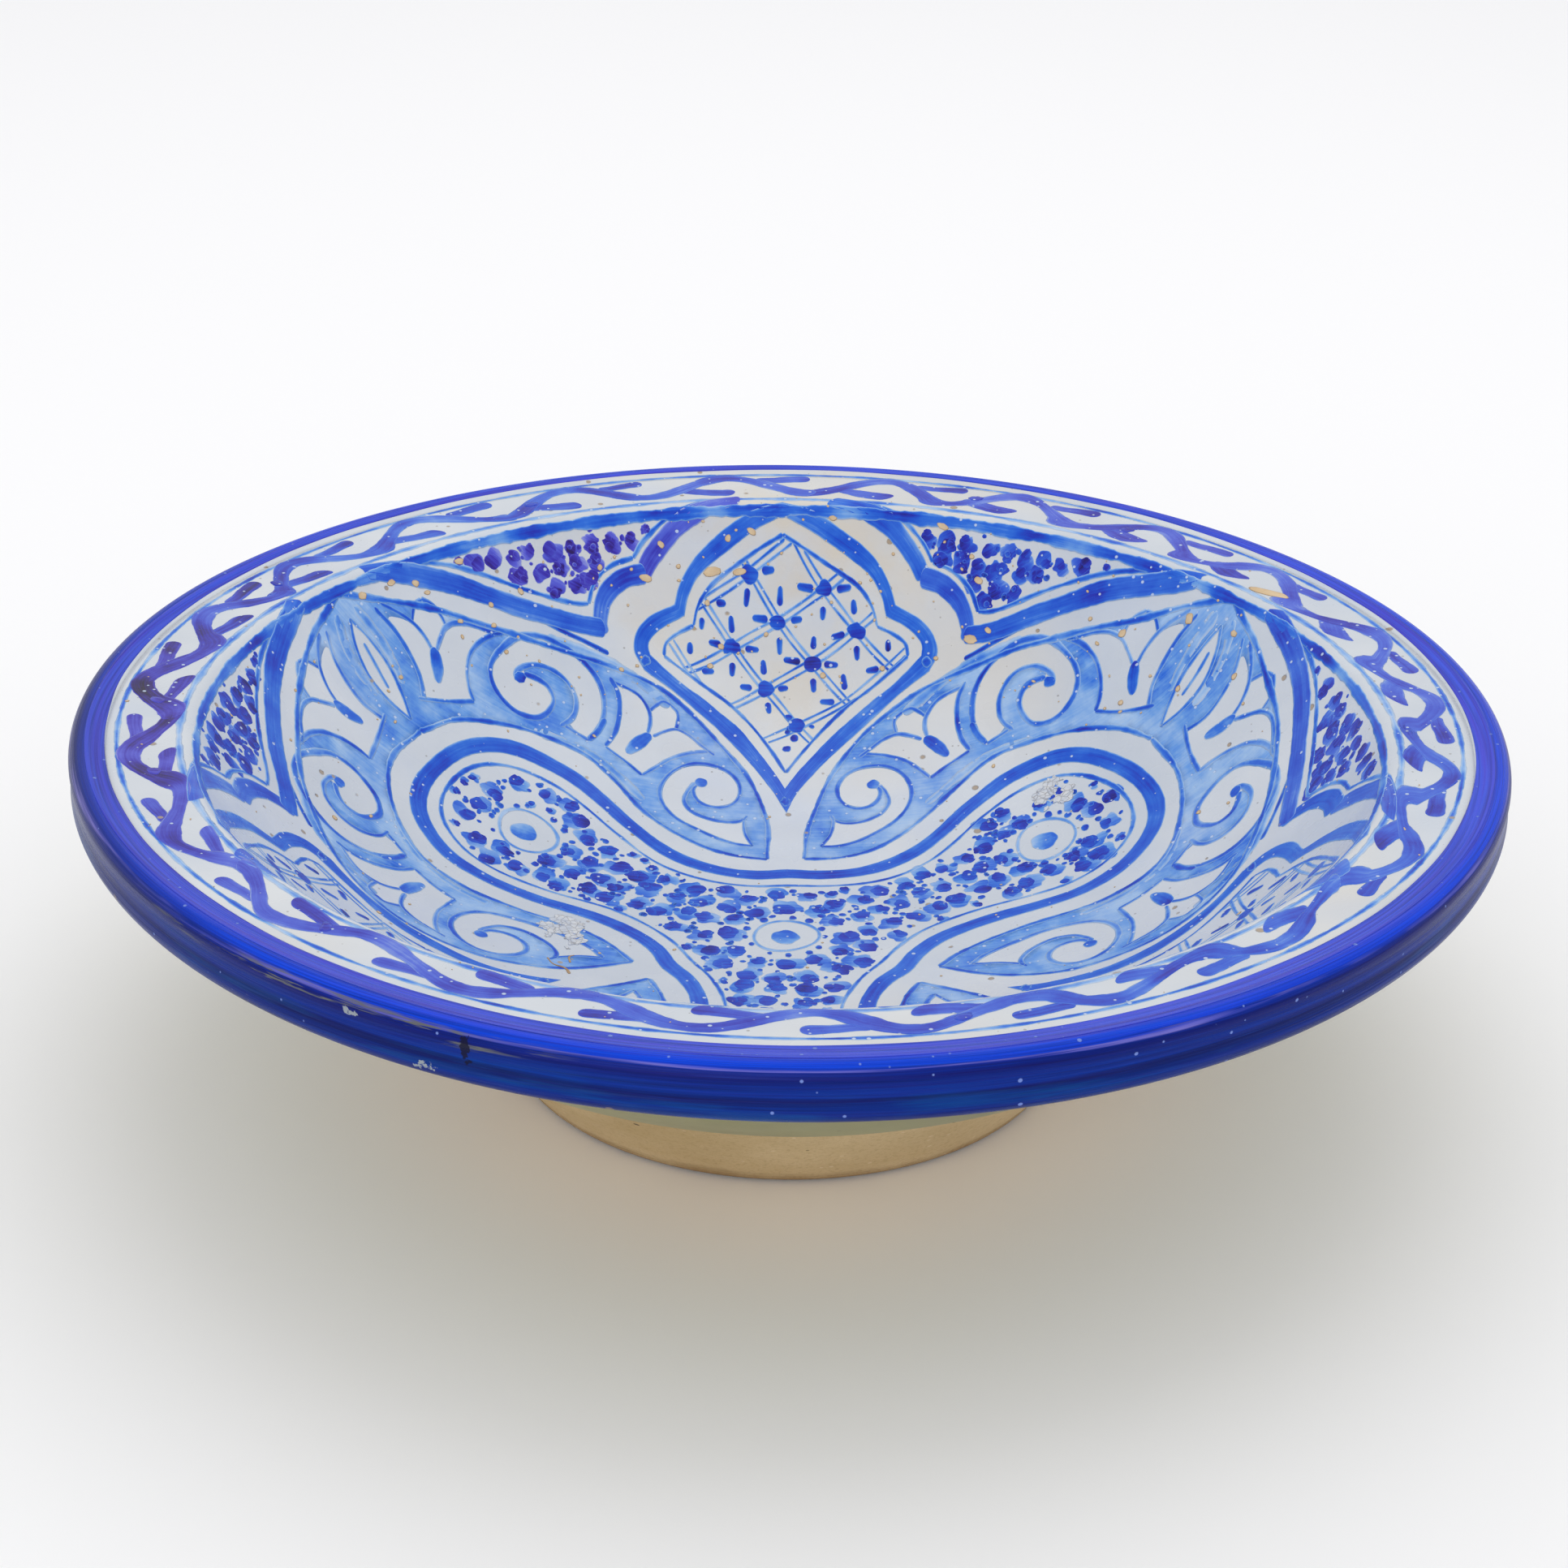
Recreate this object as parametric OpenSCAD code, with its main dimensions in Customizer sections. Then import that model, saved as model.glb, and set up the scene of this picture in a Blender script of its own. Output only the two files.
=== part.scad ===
// Footed earthenware dish, tin glazed and painted in cobalt blue.
// Origin: centre of the face that the foot ring stands on. +Z is up, units are millimetres.
// Every piece is a ring about Z, or a thin layer of brushwork laid on the glazed face.

/* [Size] */
// Diameter over the rolled lip
plate_d = 360; // [330:5:400]
// Height from the resting face to the crest of the lip
plate_h = 97; // [90:1:105]

/* [Well] */
// Radius at which the well turns into the flange
well_r = 151.2; // [146:0.1:154]
// Height of the well's floor above the resting face
floor_z = 29.5; // [26:0.5:33]
// Rise of the well wall from the floor to the flange
well_rise = 65.7; // [62:0.1:68]
// Power of the well's curve, higher for a flatter floor
well_power = 3.4; // [3:0.1:3.8]
// Radius of the rounded edge between the well and the flange
shoulder_r = 5; // [3:0.5:6]

/* [Clay] */
// Thickness of the clay under the middle of the well
clay_floor_t = 14.5; // [12:0.5:16]
// Thickness of the clay at the top of the well wall
clay_rim_t = 9.6; // [8:0.2:11]

/* [Lip] */
// Radius at which the cobalt lip band starts
band_r = 171; // [169.5:0.5:173]
// Radius of the joint between the flange and the rolled bead
joint_r = 168.5; // [166:0.5:169]
// Rounding of the lip's upper corner
lip_top_r = 3.5; // [2.5:0.5:4]
// Rounding of the lip's lower corner
lip_low_r = 4.5; // [3.5:0.5:5]
// Height of the lip's face from its lowest point to its crest
lip_h = 15; // [13:0.5:17]

/* [Foot] */
// Outer radius of the foot ring where it stands
foot_r = 73; // [68:1:78]
// Width of the resting face
foot_face_w = 10; // [6:1:12]
// Chamfer on both edges of the resting face
foot_chamfer = 1.5; // [0.5:0.5:2]

/* [Glaze] */
// Thickness of every coat of glaze
glaze_t = 0.8; // [0.6:0.1:1.2]

/* [Brushwork] */
// Thickness of the brushwork on the glaze
paint_t = 0.2; // [0.15:0.05:0.3]
// Waves of the vine scroll round the flange
vine_waves = 22; // [18:1:26]
// Width of the vine's stroke
vine_w = 4.5; // [3:0.5:6]

/* [Hidden] */

plate_r = plate_d / 2;
clay = "#b9a07c";
white_glaze = "#d9dee2";
green_glaze = "#7f8062";
cobalt = "#2340c8";
pale_blue = "#8fb4e6";

well_steps = 30;
arc_steps = 6;
wave_steps = 10;
curve_steps = 4;
well_top = well_r - 1.7;
flange_slope = 3.5;
foot_outer_step = 19;
foot_inner_step = 11;
under_glaze_step = 20;

vine_mid_r = 161.5;
vine_swing = 4.5;

// The painted figures, on a plan with a lobe or a cartouche pointing along +Y. The star's outlines are
// half a lobe, from its tip to the hollow between two lobes.
first_lobe = -60;
lobe_ring_y = 82.5;
ring_r = 8.4;
ring_w = 1;
ring_dot_r = 4.4;
star_outer = [[0, 112.8], [15, 110.5], [26, 103], [31.5, 90], [30.5, 77], [27, 65], [24, 54], [23, 44],
    [24, 34], [27.5, 25.5], [32.5, 18.8]];
star_inner = [[0, 108.6], [13, 106.4], [22, 100], [26.5, 89], [26, 77], [22.6, 65], [19.6, 54],
    [18.4, 44], [19.4, 34], [23, 24], [28.1, 16.3]];
star_line_outer = [[0, 106.2], [11, 104.2], [19, 98], [23, 88], [22.6, 77], [19.2, 65], [16, 54],
    [14.8, 44], [16, 33.5], [19.8, 23], [25, 14.4]];
star_line_inner = [[0, 105.2], [10.6, 103.2], [18.2, 97.4], [22, 88], [21.6, 77], [18.2, 65], [15, 54],
    [13.8, 44], [15, 33.3], [18.9, 22.5], [24.1, 13.9]];

// Half a petal: its outer edge from the tip to the inner corner, and its inner edge round the lobe
petal_outer = [[0, 149.5], [20, 142], [40, 130], [55, 116], [65, 102], [71.5, 88], [72.5, 76], [69.5, 63],
    [62, 49], [50, 36], [34.5, 25.5]];
petal_inner = [[0, 119.5], [14, 117], [26, 110], [34.5, 100], [39, 89], [37.5, 77], [33.5, 65],
    [30.5, 54], [29.5, 44], [31, 34], [34.5, 25.5]];

// Half a cartouche, in smooth stretches from its point near the middle out to the flange
cartouche_outer = [
    [[0, 65], [3.8, 75], [9.8, 85], [18.5, 94.5], [25, 100], [33, 105], [43, 109.3]],
    [[43, 109.3], [46, 113.5], [45, 118.5], [41, 123.3], [34.3, 127.8]],
    [[34.3, 127.8], [32.5, 133], [28, 139], [21, 144.3], [11, 148.8], [0, 151.5]]
];
cartouche_inner = [
    [[0, 76], [4.6, 85], [12.2, 95], [17.5, 100], [24.5, 105], [31.5, 108.3], [41, 113.8]],
    [[41, 113.8], [40.2, 118.3], [36.5, 122.3], [31, 125.8]],
    [[31, 125.8], [29.8, 130.3], [26.3, 135.6], [19, 140.8], [10, 145.2], [0, 148.5]]
];

// The band round a spandrel: two scallops beside the cartouche, then along the petal
spandrel_lines = [
    [[14, 152.5], [24, 149.5], [33.5, 144], [41, 136.5], [44, 131.5]],
    [[43, 132], [49.5, 128.5], [54.5, 123], [56, 117.5], [55.2, 114]],
    [[54.5, 115.6], [61.8, 114], [76.2, 111.5], [92.4, 106.7], [108.6, 98.6], [123, 88]]
];

function reversed(list) = [for (i = [len(list) - 1 : -1 : 0]) list[i]];
function mirrored(list) = [for (p = list) [-p.x, p.y]];
function turned(list, a) = [for (p = list) [p.x * cos(a) - p.y * sin(a), p.x * sin(a) + p.y * cos(a)]];
function tail(list) = [for (i = [1 : len(list) - 1]) list[i]];
function last_of(list) = list[len(list) - 1];

// The well's surface at radius s, moved t into the clay along its normal
function well_z(s) = floor_z + well_rise * pow(s / well_r, well_power);
function well_slope(s) = atan(well_rise * well_power / well_r * pow(s / well_r, well_power - 1));
function well_at(s, t) = [s + t * sin(well_slope(s)), well_z(s) - t * cos(well_slope(s))];
function well_s(i) = well_top * i / well_steps;

// The clay's outer surface below radius s of the well, moved t further out
function clay_t(s) = clay_floor_t - (clay_floor_t - clay_rim_t) * pow(s / well_r, 2);
function wall_at(s, t) = well_at(s, clay_t(s) + t);
wall_top = wall_at(well_top, 0);

// The rounded shoulder and the flange, t below the glazed surface
shoulder_c = well_at(well_top, shoulder_r);
function shoulder_at(a, t) = shoulder_c + (shoulder_r - t) * [-sin(a), cos(a)];
function flange_z(r, t) =
    let (from = shoulder_at(flange_slope, t)) from.y + (r - from.x) * tan(flange_slope);
function shoulder_arc(t) = [
    for (i = [1 : arc_steps])
        shoulder_at(well_slope(well_top) + (flange_slope - well_slope(well_top)) * i / arc_steps, t)
];
function face_curve(t, end_r) = concat(
    [for (i = [0 : well_steps]) well_at(well_s(i), t)],
    shoulder_arc(t),
    [[end_r, flange_z(end_r, t)]]
);

// The lip, t below its glazed surface, from the flange round to under the flange
function arc_points(c, r, from, to) = [
    for (i = [0 : arc_steps])
        let (a = from + (to - from) * i / arc_steps)
            c + r * [cos(a), sin(a)]
];
lip_top_c = [plate_r - lip_top_r, plate_h - lip_top_r];
lip_low_c = [plate_r - lip_low_r, plate_h - lip_h + lip_low_r];
function lip_top_arc(t) = arc_points(lip_top_c, lip_top_r - t, 105, 0);
function lip_low_arc(t) = arc_points(lip_low_c, lip_low_r - t, 0, -90);
function bead_turn_arc(t) = arc_points(lip_low_c, lip_low_r - t, -90, -135);
function bead_end(t) =
    let (from = bead_turn_arc(t)[arc_steps], z = wall_top.y - glaze_t + t)
        [from.x - (z - from.y), z];

module ring(outline) rotate_extrude($fn = 180) polygon(outline);

module bowl_body() {
    underside = [for (i = [well_steps : -1 : 0]) wall_at(well_s(i), 0)];
    color(clay) ring(concat(face_curve(glaze_t, joint_r), [[joint_r, wall_top.y]], underside));
}

module foot_ring() {
    top = [for (i = [foot_inner_step : foot_outer_step]) wall_at(well_s(i), 0)];
    inner_r = foot_r - foot_face_w - foot_chamfer;
    face = [
        [foot_r, foot_chamfer],
        [foot_r - foot_chamfer, 0],
        [inner_r, 0],
        [inner_r - foot_chamfer, foot_chamfer]
    ];
    color(clay) ring(concat(top, face));
}

module rim_bead() {
    color(clay) ring(concat(
        [[joint_r, wall_top.y], [joint_r, flange_z(joint_r, glaze_t)], [band_r, flange_z(band_r, glaze_t)]],
        lip_top_arc(glaze_t),
        lip_low_arc(glaze_t),
        bead_turn_arc(glaze_t),
        [bead_end(glaze_t)]
    ));
}

module face_glaze() {
    color(white_glaze) ring(concat(face_curve(0, band_r), [[band_r, flange_z(band_r, glaze_t)],
        [joint_r, flange_z(joint_r, glaze_t)]], reversed(shoulder_arc(glaze_t)),
        [for (i = [well_steps : -1 : 0]) well_at(well_s(i), glaze_t)]));
}

module lip_glaze() {
    outside = concat([[band_r, flange_z(band_r, 0)]], lip_top_arc(0), lip_low_arc(0));
    inside = concat([[band_r, flange_z(band_r, glaze_t)]], lip_top_arc(glaze_t), lip_low_arc(glaze_t));
    color(cobalt) ring(concat(outside, reversed(inside)));
}

module underside_glaze() {
    steps = [under_glaze_step : well_steps - 1];
    corner = [wall_top.x + glaze_t * tan(well_slope(well_top) / 2), wall_top.y - glaze_t];
    outside = concat([for (i = steps) wall_at(well_s(i), glaze_t)], [corner, bead_end(0)],
        reversed(bead_turn_arc(0)));
    inside = concat([for (i = steps) wall_at(well_s(i), 0)], [wall_top, bead_end(glaze_t)],
        reversed(bead_turn_arc(glaze_t)));
    color(green_glaze) ring(concat(outside, reversed(inside)));
}

// Brushwork

module flange_line(from, to) {
    ring([
        [from, flange_z(from, 0)], [to, flange_z(to, 0)],
        [to, flange_z(to, -paint_t)], [from, flange_z(from, -paint_t)]
    ]);
}

module flange_outer_line() color(pale_blue) flange_line(166.9, 169.1);

module flange_inner_ribbon() color(pale_blue) flange_line(153.6, 155.6);

module well_edge_line() {
    from = well_s(well_steps - 1) + 2.6;
    to = from + 1.4;
    color(cobalt) ring([well_at(from, 0), well_at(to, 0), well_at(to, -paint_t), well_at(from, -paint_t)]);
}

// A layer of paint over the part of the well that the child outline covers
module painted() {
    intersection() {
        ring(concat(
            [for (i = [0 : well_steps]) well_at(well_s(i), 0)],
            [for (i = [well_steps : -1 : 0]) well_at(well_s(i), -paint_t)]
        ));
        linear_extrude(plate_h) children();
    }
}

// Smooth curves through a list of points, open or closed
function spline_point(a, b, c, d, u) =
    0.5 * (2 * b + (c - a) * u + (2 * a - 5 * b + 4 * c - d) * u ^ 2 + (3 * b - a - 3 * c + d) * u ^ 3);
function spline(p) = let (last = len(p) - 1) [
    for (i = [0 : last - 1], k = [0 : curve_steps - 1])
        spline_point(p[max(i - 1, 0)], p[i], p[i + 1], p[min(i + 2, last)], k / curve_steps)
];
function closed_spline(p) = let (n = len(p)) [
    for (i = [0 : n - 1], k = [0 : curve_steps - 1])
        spline_point(p[(i + n - 1) % n], p[i], p[(i + 1) % n], p[(i + 2) % n], k / curve_steps)
];

// The whole three-lobed outline from half a lobe, which runs from the tip to the hollow between two lobes
function lobed(half) = closed_spline([
    for (k = [0 : 2])
        each concat(turned(half, first_lobe - 120 * k),
            turned(tail(reversed(tail(mirrored(half)))), first_lobe - 120 * (k + 1)))
]);

// A closed outline that is the same on both sides of the Y axis, from smooth stretches that meet in corners
function both_sides(stretches) = concat(
    [for (s = stretches) each spline(s)],
    [[0, last_of(last_of(stretches)).y]],
    [for (i = [len(stretches) - 1 : -1 : 0]) each reversed(mirrored(tail(spline(stretches[i]))))]
);

module star_band() color(cobalt) painted() difference() {
    polygon(lobed(star_outer));
    polygon(lobed(star_inner));
}

module star_line() color(pale_blue) painted() difference() {
    polygon(lobed(star_line_outer));
    polygon(lobed(star_line_inner));
}

module petal_washes() color(pale_blue) painted() for (k = [0 : 2])
    rotate(first_lobe - 120 * k) polygon(concat(
        spline(reversed(mirrored(petal_outer))),
        spline(petal_outer),
        spline(concat(reversed(petal_inner), tail(mirrored(petal_inner))))
    ));

module cartouche_bands() color(cobalt) painted() for (k = [0 : 2])
    rotate(first_lobe + 60 - 120 * k) difference() {
        polygon(both_sides(cartouche_outer));
        polygon(both_sides(cartouche_inner));
    }

// A band of width w along each smooth stretch of a line
module stroke(points, w) {
    p = concat(spline(points), [last_of(points)]);
    last = len(p) - 1;
    sides = [
        for (i = [0 : last])
            let (along = p[min(i + 1, last)] - p[max(i - 1, 0)])
                w / 2 * [-along.y, along.x] / norm(along)
    ];
    polygon(concat(p + sides, reversed(p - sides)));
}

module spandrel_bands() color(cobalt) painted() for (k = [0 : 2], side = [0, 1])
    rotate(first_lobe + 60 - 120 * k) mirror([side, 0]) for (line = spandrel_lines) stroke(line, 4.4);

module centre_rings() color(pale_blue) painted() {
    for (at = concat([[0, 0]], [for (k = [0 : 2]) turned([[0, lobe_ring_y]], first_lobe - 120 * k)[0]]))
        translate(at) {
            circle(r = ring_dot_r, $fn = 48);
            difference() {
                circle(r = ring_r, $fn = 48);
                circle(r = ring_r - ring_w, $fn = 48);
            }
        }
}

module vine_scroll() {
    count = vine_waves * wave_steps;
    wave = [for (i = [0 : count - 1]) vine_mid_r + vine_swing * sin(360 * i / wave_steps)];
    spokes = [for (i = [0 : count - 1]) [cos(360 * i / count), sin(360 * i / count)]];
    color(cobalt) intersection() {
        flange_line(vine_mid_r - 8, vine_mid_r + 6.8);
        linear_extrude(2 * plate_h) difference() {
            polygon([for (i = [0 : count - 1]) (wave[i] + vine_w / 2) * spokes[i]]);
            polygon([for (i = [0 : count - 1]) (wave[i] - vine_w / 2) * spokes[i]]);
        }
    }
}

bowl_body();
foot_ring();
rim_bead();
face_glaze();
lip_glaze();
underside_glaze();
flange_outer_line();
flange_inner_ribbon();
well_edge_line();
vine_scroll();
star_band();
star_line();
centre_rings();
petal_washes();
cartouche_bands();
spandrel_bands();
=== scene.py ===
import math

import bpy
import numpy as np
from mathutils import Matrix, Vector
from mathutils.geometry import delaunay_2d_cdt


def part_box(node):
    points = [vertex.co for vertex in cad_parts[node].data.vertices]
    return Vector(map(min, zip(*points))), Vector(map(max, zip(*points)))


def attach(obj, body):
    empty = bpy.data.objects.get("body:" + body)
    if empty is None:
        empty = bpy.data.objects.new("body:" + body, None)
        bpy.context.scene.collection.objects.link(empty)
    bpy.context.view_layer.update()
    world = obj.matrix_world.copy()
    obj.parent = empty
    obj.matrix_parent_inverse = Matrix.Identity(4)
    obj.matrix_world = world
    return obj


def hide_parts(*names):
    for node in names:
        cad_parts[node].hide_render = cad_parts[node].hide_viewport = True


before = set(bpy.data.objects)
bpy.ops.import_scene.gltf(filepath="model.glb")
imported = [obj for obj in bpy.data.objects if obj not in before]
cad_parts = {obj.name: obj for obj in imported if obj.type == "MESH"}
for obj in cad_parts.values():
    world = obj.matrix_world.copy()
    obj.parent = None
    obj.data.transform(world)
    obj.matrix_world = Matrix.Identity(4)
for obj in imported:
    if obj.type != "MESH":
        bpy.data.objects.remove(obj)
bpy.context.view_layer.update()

# The model is drawn in millimetres and turned into metres when a mesh is made.
# Plan points are (x, y) seen from above. A figure is drawn pointing along +Y and then turned.
MM = 0.001

# Sizes

PLATE_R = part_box("lip_glaze")[1].x / MM
CREST_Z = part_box("lip_glaze")[1].z / MM
GLAZE_T = 0.8
FLOOR_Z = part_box("face_glaze")[0].z / MM + GLAZE_T
WELL_R = 151.2
WELL_RISE = 65.7
WELL_POWER = 3.4
WELL_TOP = WELL_R - 1.7
SHOULDER_R = 5
FLANGE_SLOPE = math.radians(3.5)
BAND_R = 171
BEAD_IN_R = BAND_R - 2.5
CLAY_FLOOR_T = 14.5
CLAY_RIM_T = 9.6
LIP_TOP_R = 3.5
LIP_LOW_R = 4.5
LIP_H = CREST_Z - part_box("lip_glaze")[0].z / MM
FOOT_R = 73
FOOT_FACE_W = 10
FOOT_ROUND_R = 1.5
GLAZE_END_S = 99.7  # well radius under which the underside glaze ends
FOOT_TOP_S = 94.7  # well radius under which the foot's cone meets the wall
FOOT_IN_S = 54.8  # well radius under which the foot meets the recess

SEGMENTS = 512  # steps round the wheel's axis
LOBE_TURNS = (-60, 60, 180)  # turns that bring +Y onto the three lobes
CARTOUCHE_TURNS = (0, 120, 240)
SEED = 11


# The thrown shape, as profiles of (radius, height)

def well_z(s):
    return FLOOR_Z + WELL_RISE * (s / WELL_R) ** WELL_POWER


def well_angle(s):
    return np.arctan(WELL_RISE * WELL_POWER / WELL_R * (s / WELL_R) ** (WELL_POWER - 1))


def well_at(s, t):
    a = well_angle(s)
    return np.stack([s + t * np.sin(a), well_z(s) - t * np.cos(a)], -1)


def wall_at(s, t):
    clay_t = CLAY_FLOOR_T - (CLAY_FLOOR_T - CLAY_RIM_T) * (s / WELL_R) ** 2
    return well_at(s, clay_t + t)


def arc(centre, radius, start, end, steps):
    a = np.radians(np.linspace(start, end, steps))
    return np.array(centre) + radius * np.stack([np.cos(a), np.sin(a)], -1)


def flange_z(r, t=0.0):
    centre = well_at(np.array(WELL_TOP), SHOULDER_R)
    start = centre + (SHOULDER_R - t) * np.array([-math.sin(FLANGE_SLOPE), math.cos(FLANGE_SLOPE)])
    return start[1] + (r - start[0]) * math.tan(FLANGE_SLOPE)


def face_profile(t, steps=96):
    """The glazed face from the middle to the lip band, t below its surface."""
    well = well_at(np.linspace(0, WELL_TOP, steps), t)
    centre = well_at(np.array(WELL_TOP), SHOULDER_R)
    top = 90 + math.degrees(FLANGE_SLOPE)
    shoulder = arc(centre, SHOULDER_R - t, 90 + math.degrees(well_angle(WELL_TOP)), top, 9)[1:]
    flange_r = np.linspace(shoulder[-1, 0], BAND_R, 10)[1:]
    return np.concatenate([well, shoulder, np.stack([flange_r, flange_z(flange_r, t)], -1)])


def lip_profile(t):
    """The lip from the band's inner edge over the crest and down to its lowest point."""
    top_c = (PLATE_R - LIP_TOP_R, CREST_Z - LIP_TOP_R)
    low_c = (PLATE_R - LIP_LOW_R, CREST_Z - LIP_H + LIP_LOW_R)
    top = arc(top_c, LIP_TOP_R - t, 105, 0, 14)
    low = arc(low_c, LIP_LOW_R - t, 0, -90, 12)
    start = np.array([BAND_R, flange_z(BAND_R, t)])
    rise = start + (top[0] - start) * np.linspace(0, 1, 5)[:-1, None]
    face = top[-1] + (low[0] - top[-1]) * np.linspace(0, 1, 9)[1:-1, None]
    groove = 0.35 * np.sin(np.pi * np.linspace(0, 1, 9)[1:-1]) * (1 - t / GLAZE_T)
    face[:, 0] -= groove
    return np.concatenate([rise, top, face, low])


def bead_turn(t):
    """Under the lip and in to the flat underside of the flange."""
    low_c = (PLATE_R - LIP_LOW_R, CREST_Z - LIP_H + LIP_LOW_R)
    turn = arc(low_c, LIP_LOW_R - t, -90, -135, 6)
    under = wall_at(np.array(WELL_TOP), 0)[1] - GLAZE_T + t
    rise = under - turn[-1, 1]
    return np.concatenate([turn, [[turn[-1, 0] - rise, under]]])


def wall_profile(t, start, steps=50):
    wall = wall_at(np.linspace(start, WELL_TOP, steps), t)
    corner = wall_at(np.array(WELL_TOP), 0) + np.array([t * math.tan(well_angle(WELL_TOP) / 2), -t])
    return np.concatenate([wall[wall[:, 1] < corner[1] - 0.05], [corner]])


FACE = np.concatenate([face_profile(0, 260), lip_profile(0)[1:18]])
FACE_SLOPE = np.gradient(FACE[:, 1], FACE[:, 0])


# Where the thrower's and the painter's hands strayed

def thrown(p):
    """The slight unevenness of a wheel-thrown rim, none at the foot."""
    r = np.hypot(p[:, 0], p[:, 1])
    a = np.arctan2(p[:, 1], p[:, 0])
    share = (r / PLATE_R) ** 2 * np.clip(p[:, 2] / CREST_Z, 0, 1)
    out = 1 + share * (0.45 * np.cos(2 * a + 0.7) + 0.3 * np.cos(3 * a - 1.1)) / PLATE_R
    lift = share * (0.5 * np.cos(2 * a - 0.4) + 0.3 * np.cos(3 * a + 1.9))
    return np.stack([p[:, 0] * out, p[:, 1] * out, p[:, 2] + lift], -1)


def drifted(p):
    """The figures lean towards the far side, most at the flange."""
    r = np.hypot(p[:, 0], p[:, 1])
    a = np.arctan2(p[:, 1], p[:, 0])
    turn = np.radians(4 * np.cos(a) + 1.2) * np.clip(r / WELL_R, 0, 1) ** 3
    turn *= np.clip((WELL_R + 8 - r) / 8, 0, 1)
    return np.stack([r * np.cos(a + turn), r * np.sin(a + turn)], -1)


def on_face(xy, lift):
    """Plan points laid on the glazed face, lift above it."""
    p = drifted(np.asarray(xy, float))
    r = np.hypot(p[:, 0], p[:, 1])
    z = np.interp(r, FACE[:, 0], FACE[:, 1])
    slope = np.interp(r, FACE[:, 0], FACE_SLOPE)
    length = np.hypot(1, slope)
    out = p / np.maximum(r, 1e-6)[:, None]
    lift = np.broadcast_to(lift, r.shape)
    flat = p - out * (lift * slope / length)[:, None]
    return thrown(np.column_stack([flat, z + lift / length]))


def steepness(r):
    """How short a length up the face looks from above."""
    return 1 / math.hypot(1, np.interp(r, FACE[:, 0], FACE_SLOPE))


# Curves

def turned(p, degrees):
    a = math.radians(degrees)
    p = np.asarray(p, float)
    return p @ np.array([[math.cos(a), math.sin(a)], [-math.sin(a), math.cos(a)]])


def flipped(p):
    return np.asarray(p, float) * (-1, 1)


def towards(angle):
    return np.array([math.cos(angle), math.sin(angle)])


def curve(points, closed=False, step=1.1):
    """A smooth curve through the points, with a point about every step."""
    p = np.asarray(points, float)
    n = len(p)
    if closed:
        ext = np.concatenate([p[-1:], p, p[:2]])
        spans = n
    else:
        ext = np.concatenate([[2 * p[0] - p[1]], p, [2 * p[-1] - p[-2]]])
        spans = n - 1
    out = []
    for i in range(spans):
        a, b, c, d = ext[i:i + 4]
        count = max(2, int(math.ceil(np.linalg.norm(c - b) / step)))
        u = np.arange(count)[:, None] / count
        out.append(0.5 * (2 * b + (c - a) * u + (2 * a - 5 * b + 4 * c - d) * u ** 2
                          + (3 * b - a - 3 * c + d) * u ** 3))
    if not closed:
        out.append(p[-1:])
    return np.concatenate(out)


def along(path):
    """The distance gone along a path at each of its points."""
    d = np.linalg.norm(np.diff(path, axis=0), axis=1)
    return np.concatenate([[0], np.cumsum(d)])


def wave(rng, x, size, length):
    """Smooth seeded variation along x."""
    total = np.zeros_like(x, dtype=float)
    for k in (1, 1.7, 2.9):
        total += np.sin(x * 2 * math.pi * k / length + rng.uniform(0, 6.3)) / k
    return size * total / 1.4


def shaky(rng, size):
    """A hand's smooth wandering over the plan, for one figure."""
    span = 34.0
    f = rng.uniform(0, 6.3, 8)
    k = 2 * math.pi / span

    def move(p):
        x, y = p[:, 0], p[:, 1]
        dx = np.sin(k * 0.6 * x + f[0]) + np.sin(k * 0.7 * y + f[1]) + 0.5 * np.sin(k * (x + y) + f[2])
        dy = np.sin(k * 0.7 * x + f[3]) + np.sin(k * 0.6 * y + f[4]) + 0.5 * np.sin(k * (x - y) + f[5])
        return p + size * np.stack([dx, dy], -1)
    return move


# Meshes

def link(name, verts_mm, faces, material, attributes=None, smooth=None):
    mesh = bpy.data.meshes.new(name)
    mesh.from_pydata((np.asarray(verts_mm) * MM).tolist(), [], faces)
    for key, values in (attributes or {}).items():
        values = np.asarray(values, np.float32)
        kind = "FLOAT" if values.ndim == 1 else "FLOAT_VECTOR"
        layer = mesh.attributes.new(key, kind, "POINT")
        layer.data.foreach_set("value" if kind == "FLOAT" else "vector", values.ravel())
    mesh.polygons.foreach_set("use_smooth", smooth or [True] * len(mesh.polygons))
    mesh.materials.append(material)
    piece = bpy.data.objects.new(name, mesh)
    bpy.context.scene.collection.objects.link(piece)
    return piece


def add_piece(name, verts_mm, faces, material, slot, nodes=(), attributes=None, smooth=None):
    piece = link(name, verts_mm, faces, material, attributes, smooth)
    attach(piece, "root")
    if nodes:
        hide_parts(*nodes)
    return piece


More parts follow.
